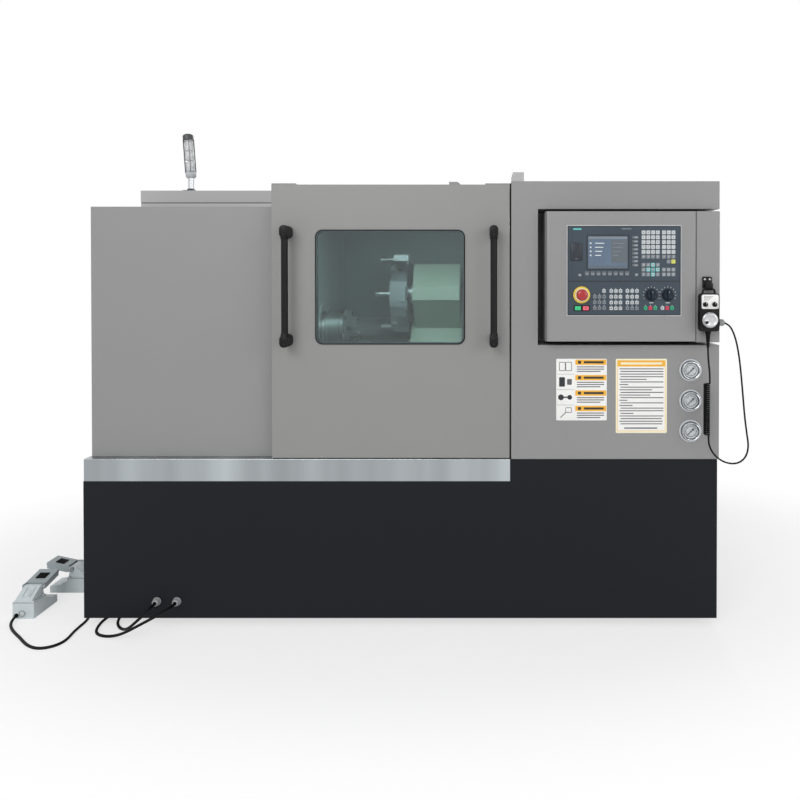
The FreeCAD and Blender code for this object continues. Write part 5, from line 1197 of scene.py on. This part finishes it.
def glands():
    """Three cable glands: collar, hexagon and ribbed dome nut round a black insert."""
    form = Form()
    places = [shift(x, FRONT, 100.0) for x in (-922.0, -846.0)]
    places.append(shift(POST_HIGH.x, POST_LOW.y + 14, 1158.0) @ tilt(90, "Z"))
    for place in places:
        form.place = place
        form.disc(GLAND_GREY, 16.0, (0, 2.0), segments=32)
        form.lathe(GLAND_GREY, [(0, 1.5), (13.0, 1.5), (14.0, 2.6), (14.0, 8.4), (13.0, 9.4), (0, 9.4)],
                   segments=6)
        form.lathe(GLAND_GREY, [(0, 9), (12.4, 9), (12.6, 14.0), (11.6, 17.6), (9.4, 19.6), (7.0, 20.2),
                                (0, 20.2)], segments=32)
        for k in range(12):
            foot = polar(12.4, 45 + 30 * k, -9.6)
            form.tube(GLAND_GREY, [foot, foot + TO_FRONT * 5], 0.8, 6)
        form.lathe(SOFT_BLACK, [(0, 19.5), (7.4, 19.5), (7.0, 21.6), (0, 21.8)], segments=28)
    form.become("gland_nuts", "machine", "gland_grey", "cable_glands")


# -------- pedals
PEDALS = {"front": shift(-1516, -681, 0), "rear": shift(-1360, -455, 0) @ tilt(90, "Z")}
PEDAL_WIDTH = 83.0


def slope(rise, run):
    return Matrix.Rotation(math.atan2(rise, run), 4, "X")


def pedal_fittings():
    """Cover screws, the seam's gasket, blank name field and cable entry of both pedals."""
    form = Form()
    for pedal in PEDALS.values():
        form.place = pedal
        for x in (6, PEDAL_WIDTH - 6):
            for y in (7, 70):
                form.lathe(PEDAL_PAINT, [(0, 0), (5.8, 0), (5.8, 3.0), (5.0, 4.0), (0, 4.0)],
                           (x, y, 61.5), UP, 20)
                form.screw((x, y, 65.5), UP, 3.8, ALUMINIUM)
        form.box(SOFT_BLACK, (-0.5, PEDAL_WIDTH + 0.5), (-0.5, 78.5), (60.6, 61.8), 0.3)
        form.ring(GLAND_GREY, [(9.0, -0.5), (12.4, -0.5), (12.0, 1.2), (9.4, 1.2)], (39, -4, 22),
                  segments=36)
        form.ring(SOFT_BLACK, [(5.4, -1), (8.6, -1), (8.2, 1.4), (5.6, 1.8)], (19, -7, 15), segments=28)
        form.place = pedal @ shift(PEDAL_WIDTH / 2, 28, 84.6) @ slope(30, 52)
        form.box(PEDAL_PAINT, (-10, 10), (-13, 13), (1.6, 4.2), 0.8)
    form.become("pedal_fittings", "machine", "pedal_grey")


def treadle_pad(name, body):
    """Ribbed rubber pad on the foot plate, with the heads of the hinge pins."""
    form = Form(PEDALS[name] @ shift(PEDAL_WIDTH / 2, 122, 117.0) @ slope(18, 85))
    form.box(SOFT_BLACK, (-20, 20), (-18, 18), (-1.0, 2.4), 1.6)
    for k in range(6):
        form.box(SOFT_BLACK, (-17, 17), around(5.2 * k - 13, 2.4), (2.0, 4.0), 0.6)
    form.place = PEDALS[name]
    for x, axis in ((1.5, -TO_RIGHT), (PEDAL_WIDTH - 1.5, TO_RIGHT)):
        form.lathe(ALUMINIUM, [(0, 0), (6.5, 0), (6.5, 1.6), (5.6, 2.6), (0, 2.8)], (x, 64, 100), axis, 24)
    form.become(name + "_treadle_pad", body, "pedal_grey")


# -------- sides, back and top
SCREW_TOP = 1610          # height of the uppermost screws of the side and rear panels
REAR_DOOR_FACE = 773.0
LOUVRES = (-1006, 860.0)  # left end and height of the lowest louvre
LOUVRE_WIDTH = 452


def screw_row(form, start, end, count, axis):
    for k in range(count):
        form.screw(Vector(start).lerp(Vector(end), k / (count - 1)), axis, 4.5)


def lid_seam_and_painted_shadow():
    """Pale strip under the lid's front flange, a black strip at the joint between them as painted shadow,
    and a pale strip in the gap at the door's left side.
    """
    form = Form()
    low, high = corners("headstock_cover")
    joint = LID_HIGH.z - 53.0
    x = (LID_LOW.x + 4.0, DOOR_HIGH.x)
    form.box(LID_PAINT, x, (LID_LOW.y - 1.4, LID_LOW.y), (high.z, joint - 3.0), 0.3)
    # Black strip along the joint under the lid's flange: painted shadow.
    form.box(SOFT_BLACK, x, (LID_LOW.y - 0.4, LID_LOW.y), (joint - 3.2, joint + 0.4))
    form.box(LID_PAINT, (DOOR_LOW.x - 7.0, DOOR_LOW.x - 2.0), (low.y - 1.2, low.y),
             (SILL + 4.0, high.z - 2.0), 0.5)
    form.become("lid_seam_and_painted_shadow", "machine", "cover_grey")


def closing_seal():
    """Black brush in the joint between the closed door and the right-hand cabinet."""
    form = Form()
    form.box(SOFT_BLACK, (DOOR_HIGH.x + 0.7, corners("right_cabinet")[0].x),
             (DOOR_FACE + 4, DOOR_FACE + 12), (SILL + 3, DOOR_HIGH.z - 6))
    form.become("closing_seal", "machine", "seal_rubber")


def cover_screws():
    """Screws of the headstock cover, side panels, rear panel and lid."""
    form = Form()
    low, high = corners("headstock_cover")
    for z in (low.z + 130, high.z - 40):
        screw_row(form, (low.x, low.y + 40, z), (low.x, high.y - 40, z), 3, -TO_RIGHT)
    left = low.x - 3
    back = corners("rear_sides")[1]
    for y in (-280.0, back.y - 25):
        screw_row(form, (left, y, 620), (left, y, SCREW_TOP), 6, -TO_RIGHT)
        screw_row(form, (back.x, y, 680), (back.x, y, SCREW_TOP), 6, TO_RIGHT)
    for x, z in ((-1160, 600), (1165, 690)):
        screw_row(form, (x, REAR_FACE, z), (x, REAR_FACE, SCREW_TOP), 6, TO_BACK)
    screw_row(form, (-900, REAR_FACE, 600), (330, REAR_FACE, 600), 5, TO_BACK)
    for y in (LID_LOW.y + 22, LID_HIGH.y - 22):
        screw_row(form, (LID_LOW.x + 60, y, LID_HIGH.z), (LID_HIGH.x - 60, y, LID_HIGH.z), 8, UP)
    form.become("cover_screws", "machine", "base_black")


def louvres():
    """Folded hoods over the slots in the rear panel, each closed by a cheek at its ends."""
    form = Form()
    hood = ((-1, 22), (9, 15), (9, -1), (7.5, -1), (7.5, 14), (-1, 20))
    cheek = ((-1, 21), (8.6, 14), (8.6, -1), (-1, -1))
    for row in range(8):
        form.place = shift(LOUVRES[0], REAR_FACE, LOUVRES[1] + 60.0 * row)
        for outline, x, width in ((hood, 0, LOUVRE_WIDTH), (cheek, 0, 1.5),
                                  (cheek, LOUVRE_WIDTH - 1.5, 1.5)):
            form.prism(CABINET, [(x, y, z) for y, z in outline], TO_RIGHT * width)
    form.become("louvre_hoods", "machine", "cover_grey")


def rear_latch():
    """Swing handle of the rear door, on its escutcheon and with a lock."""
    form = Form(shift(corners("rear_door")[0].x + 45, REAR_DOOR_FACE, 1086))
    form.box(BLACK_PLASTIC, (-15, 15), (-1, 8), (0, 158), 3.0)
    form.box(BLACK_PLASTIC, (-10, 10), (8, 20), (20, 150), 3.5)
    form.lathe(CHROME, [(0, 0), (7, 0), (7, 3), (5.5, 4), (0, 4)], (0, 7, 10), TO_BACK, 24)
    form.become("rear_latch", "back_door", "handle_black")


def hinge_pins():
    """Pins and straps on which the control box swings, and a black strip in the gap beside its post as
    painted shade.
    """
    form = Form()
    x = (BOX_HIGH.x + POST_LOW.x) / 2
    for z in (1180.0, 1330.0, 1480.0):
        form.lathe(TOOL_BLACK, [(0, 0), (5.0, 0), (5.4, 1), (5.4, 59), (5.0, 60), (0, 60)],
                   (x, BOX_LOW.y + 156, z - 30), UP, 20)
        form.box(CABINET, (x, x + 26), (BOX_LOW.y + 158, BOX_LOW.y + 161), around(z, 56), 0.6)
    # Black strip in the gap between the box and the post: painted shade.
    form.box(SOFT_BLACK, (BOX_HIGH.x + 0.8, POST_LOW.x), (BOX_LOW.y + 7, BOX_LOW.y + 10),
             inset((BOX_LOW.z, BOX_HIGH.z), 2))
    form.become("hinge_pins", "machine", "cover_grey")


# -------- spindle, turret and chamber
TURRET_CENTRE = BED @ Vector((-85, 240, 250))
HUB = -52.0   # from the turret's middle to its hub's face


def on_spindle(x):
    return shift(x, *SPINDLE)


def turned(radius, degrees, x=0.0):
    """A point round an axis that runs to the right; the angle goes from the top to the back."""
    angle = math.radians(degrees)
    return Vector((x, radius * math.sin(angle), radius * math.cos(angle)))


def bar_port_ring():
    """Rubber ring and screws round the hole through which a bar enters."""
    form = Form(on_spindle(corners("rear_sides")[0].x))
    form.ring(SOFT_BLACK, [(35.0, -8), (35.0, 1.5), (37.0, 3.4), (44.0, 2.4), (45.0, -0.5),
                           (37.0, -0.5), (37.0, -8)], axis=-TO_RIGHT, segments=48)
    for k in range(4):
        form.screw(turned(49.5, 45 + 90 * k), -TO_RIGHT, 2.6)
    form.become("bar_port_ring", "machine", "seal_rubber")


def chuck_face():
    """Rings turned on the chuck, the ring round its bore and its face bolts."""
    form = Form()
    low, high = corners("chuck_body")
    for step in (8.0, 62.0):
        form.place = on_spindle(low.x + step)
        form.ring(MACHINED, [(104, 0), (105.8, 0.8), (105.8, 3.2), (104, 4.0)], axis=TO_RIGHT)
    form.place = on_spindle(high.x)
    form.ring(MACHINED, [(30.0, -1), (38.0, -1), (38.0, 1.2), (36.5, 2.0), (30.0, 2.0)], axis=TO_RIGHT,
              segments=48)
    for k in range(6):
        form.screw(turned(72, 30 + 60 * k), TO_RIGHT, 7.0)
    form.become("chuck_face", "spindle_unit", "chuck_steel")


def jaw_bolts(number):
    """Two socket bolts that hold a top jaw on its slide."""
    end = corners("chuck_jaw_1")[1].x
    step = (corners("chuck_body")[1].x + end) / 2
    form = Form(on_spindle(0))
    for x, out, radius in ((step, 81, 6.5), (end, 52, 5.5)):
        form.screw(turned(out, 120 * (number - 1), x), TO_RIGHT, radius)
    form.become("jaw_bolts_" + str(number), "jaw_" + str(number), "chuck_steel")


def turret_tooling():
    """Clamp screws round the tool disc, the ring on its hub and the hub's screws."""
    form = Form(shift(*TURRET_CENTRE))
    form.ring(MACHINED, [(20, -1), (54, -1), (54, 2.5), (51, 4.0), (20, 4.0)], (HUB, 0, 0), -TO_RIGHT, 48)
    for k in range(8):
        turn = tilt(45 * k - 135)
        for x in (-18, 14):
            form.lathe(TOOL_BLACK, [(0, 0), (6, 0), (6, 3), (5, 4), (0, 4)],
                       turn @ Vector((x, 0, 140.0)), turn @ UP, 6)
        form.screw(turn @ Vector((HUB - 3.5, 0, 37.0)), -TO_RIGHT, 4.5)
    form.become("turret_tooling", "turret", "chuck_steel")


def bed_wipers():
    """Black wipers with their screws at both ends of the saddle, drawn along the bed's slope."""
    form = Form(BED)
    low, high = corners("saddle")
    for edge, outward in ((low.x, -1), (high.x, 1)):
        face = edge + 6 * outward
        for y in (-170.0, 190.0):
            form.box(SOFT_BLACK, sorted((edge, face)), around(y, 88.0), (31.5, 60.0), 1.2)
            form.screw((face, y - 30, 50), TO_RIGHT * outward, 3.5)
    form.become("saddle_wipers", "carriage", "cast_paint")


def chamber_lining():
    """Guard ring with its screws round the chuck, and the work lamp under the roof."""
    form = Form(on_spindle(corners("spindle_bulkhead")[1].x))
    form.ring(CHAMBER_STEEL, [(90.5, -3), (128, -3), (128, 4), (124, 7), (96, 7), (90.5, 4)], axis=TO_RIGHT)
    for k in range(8):
        form.screw(turned(112, 45 * k, 6.5), TO_RIGHT, 4.0)
    form.place = Matrix()
    form.box(TOOL_BLACK, (-300, 380), (-640, -590), (1600, 1638), 4.0)
    form.box(LAMP_LIT, (-290, 370), (-636, -594), (1597, 1601), 1.0)
    form.become("chamber_lining", "machine", "inner_steel")


for build in (letter_keys, cursor_keys, soft_keys, machine_keys, screen, panel_trim, dial_marks):
    build()
override_knob("feed_knob", "feed_override")
override_knob("spindle_knob", "spindle_override")
emergency_stop()
push_button("start_button", "start", BUTTON_GREEN, "start_green", True)
push_button("stop_button", "stop", BUTTON_ROSE, "stop_red", False)
for build in (gauges, notice_plate, guide_plate, door_handles, window_trim, pendant_case):
    build()
selector_knob("pendant_axis_knob", "axis_selector", AXIS_KNOB)
selector_knob("pendant_step_knob", "step_selector", STEP_KNOB)
for build in (hand_wheel, holder, signal_column, signal_stem, glands, pedal_fittings):
    build()
treadle_pad("front", "front_treadle")
treadle_pad("rear", "rear_treadle")
for build in (lid_seam_and_painted_shadow, closing_seal, cover_screws, louvres, rear_latch, bar_port_ring, hinge_pins,
              chuck_face):
    build()
for number in (1, 2, 3):
    jaw_bolts(number)
for build in (turret_tooling, bed_wipers, chamber_lining):
    build()
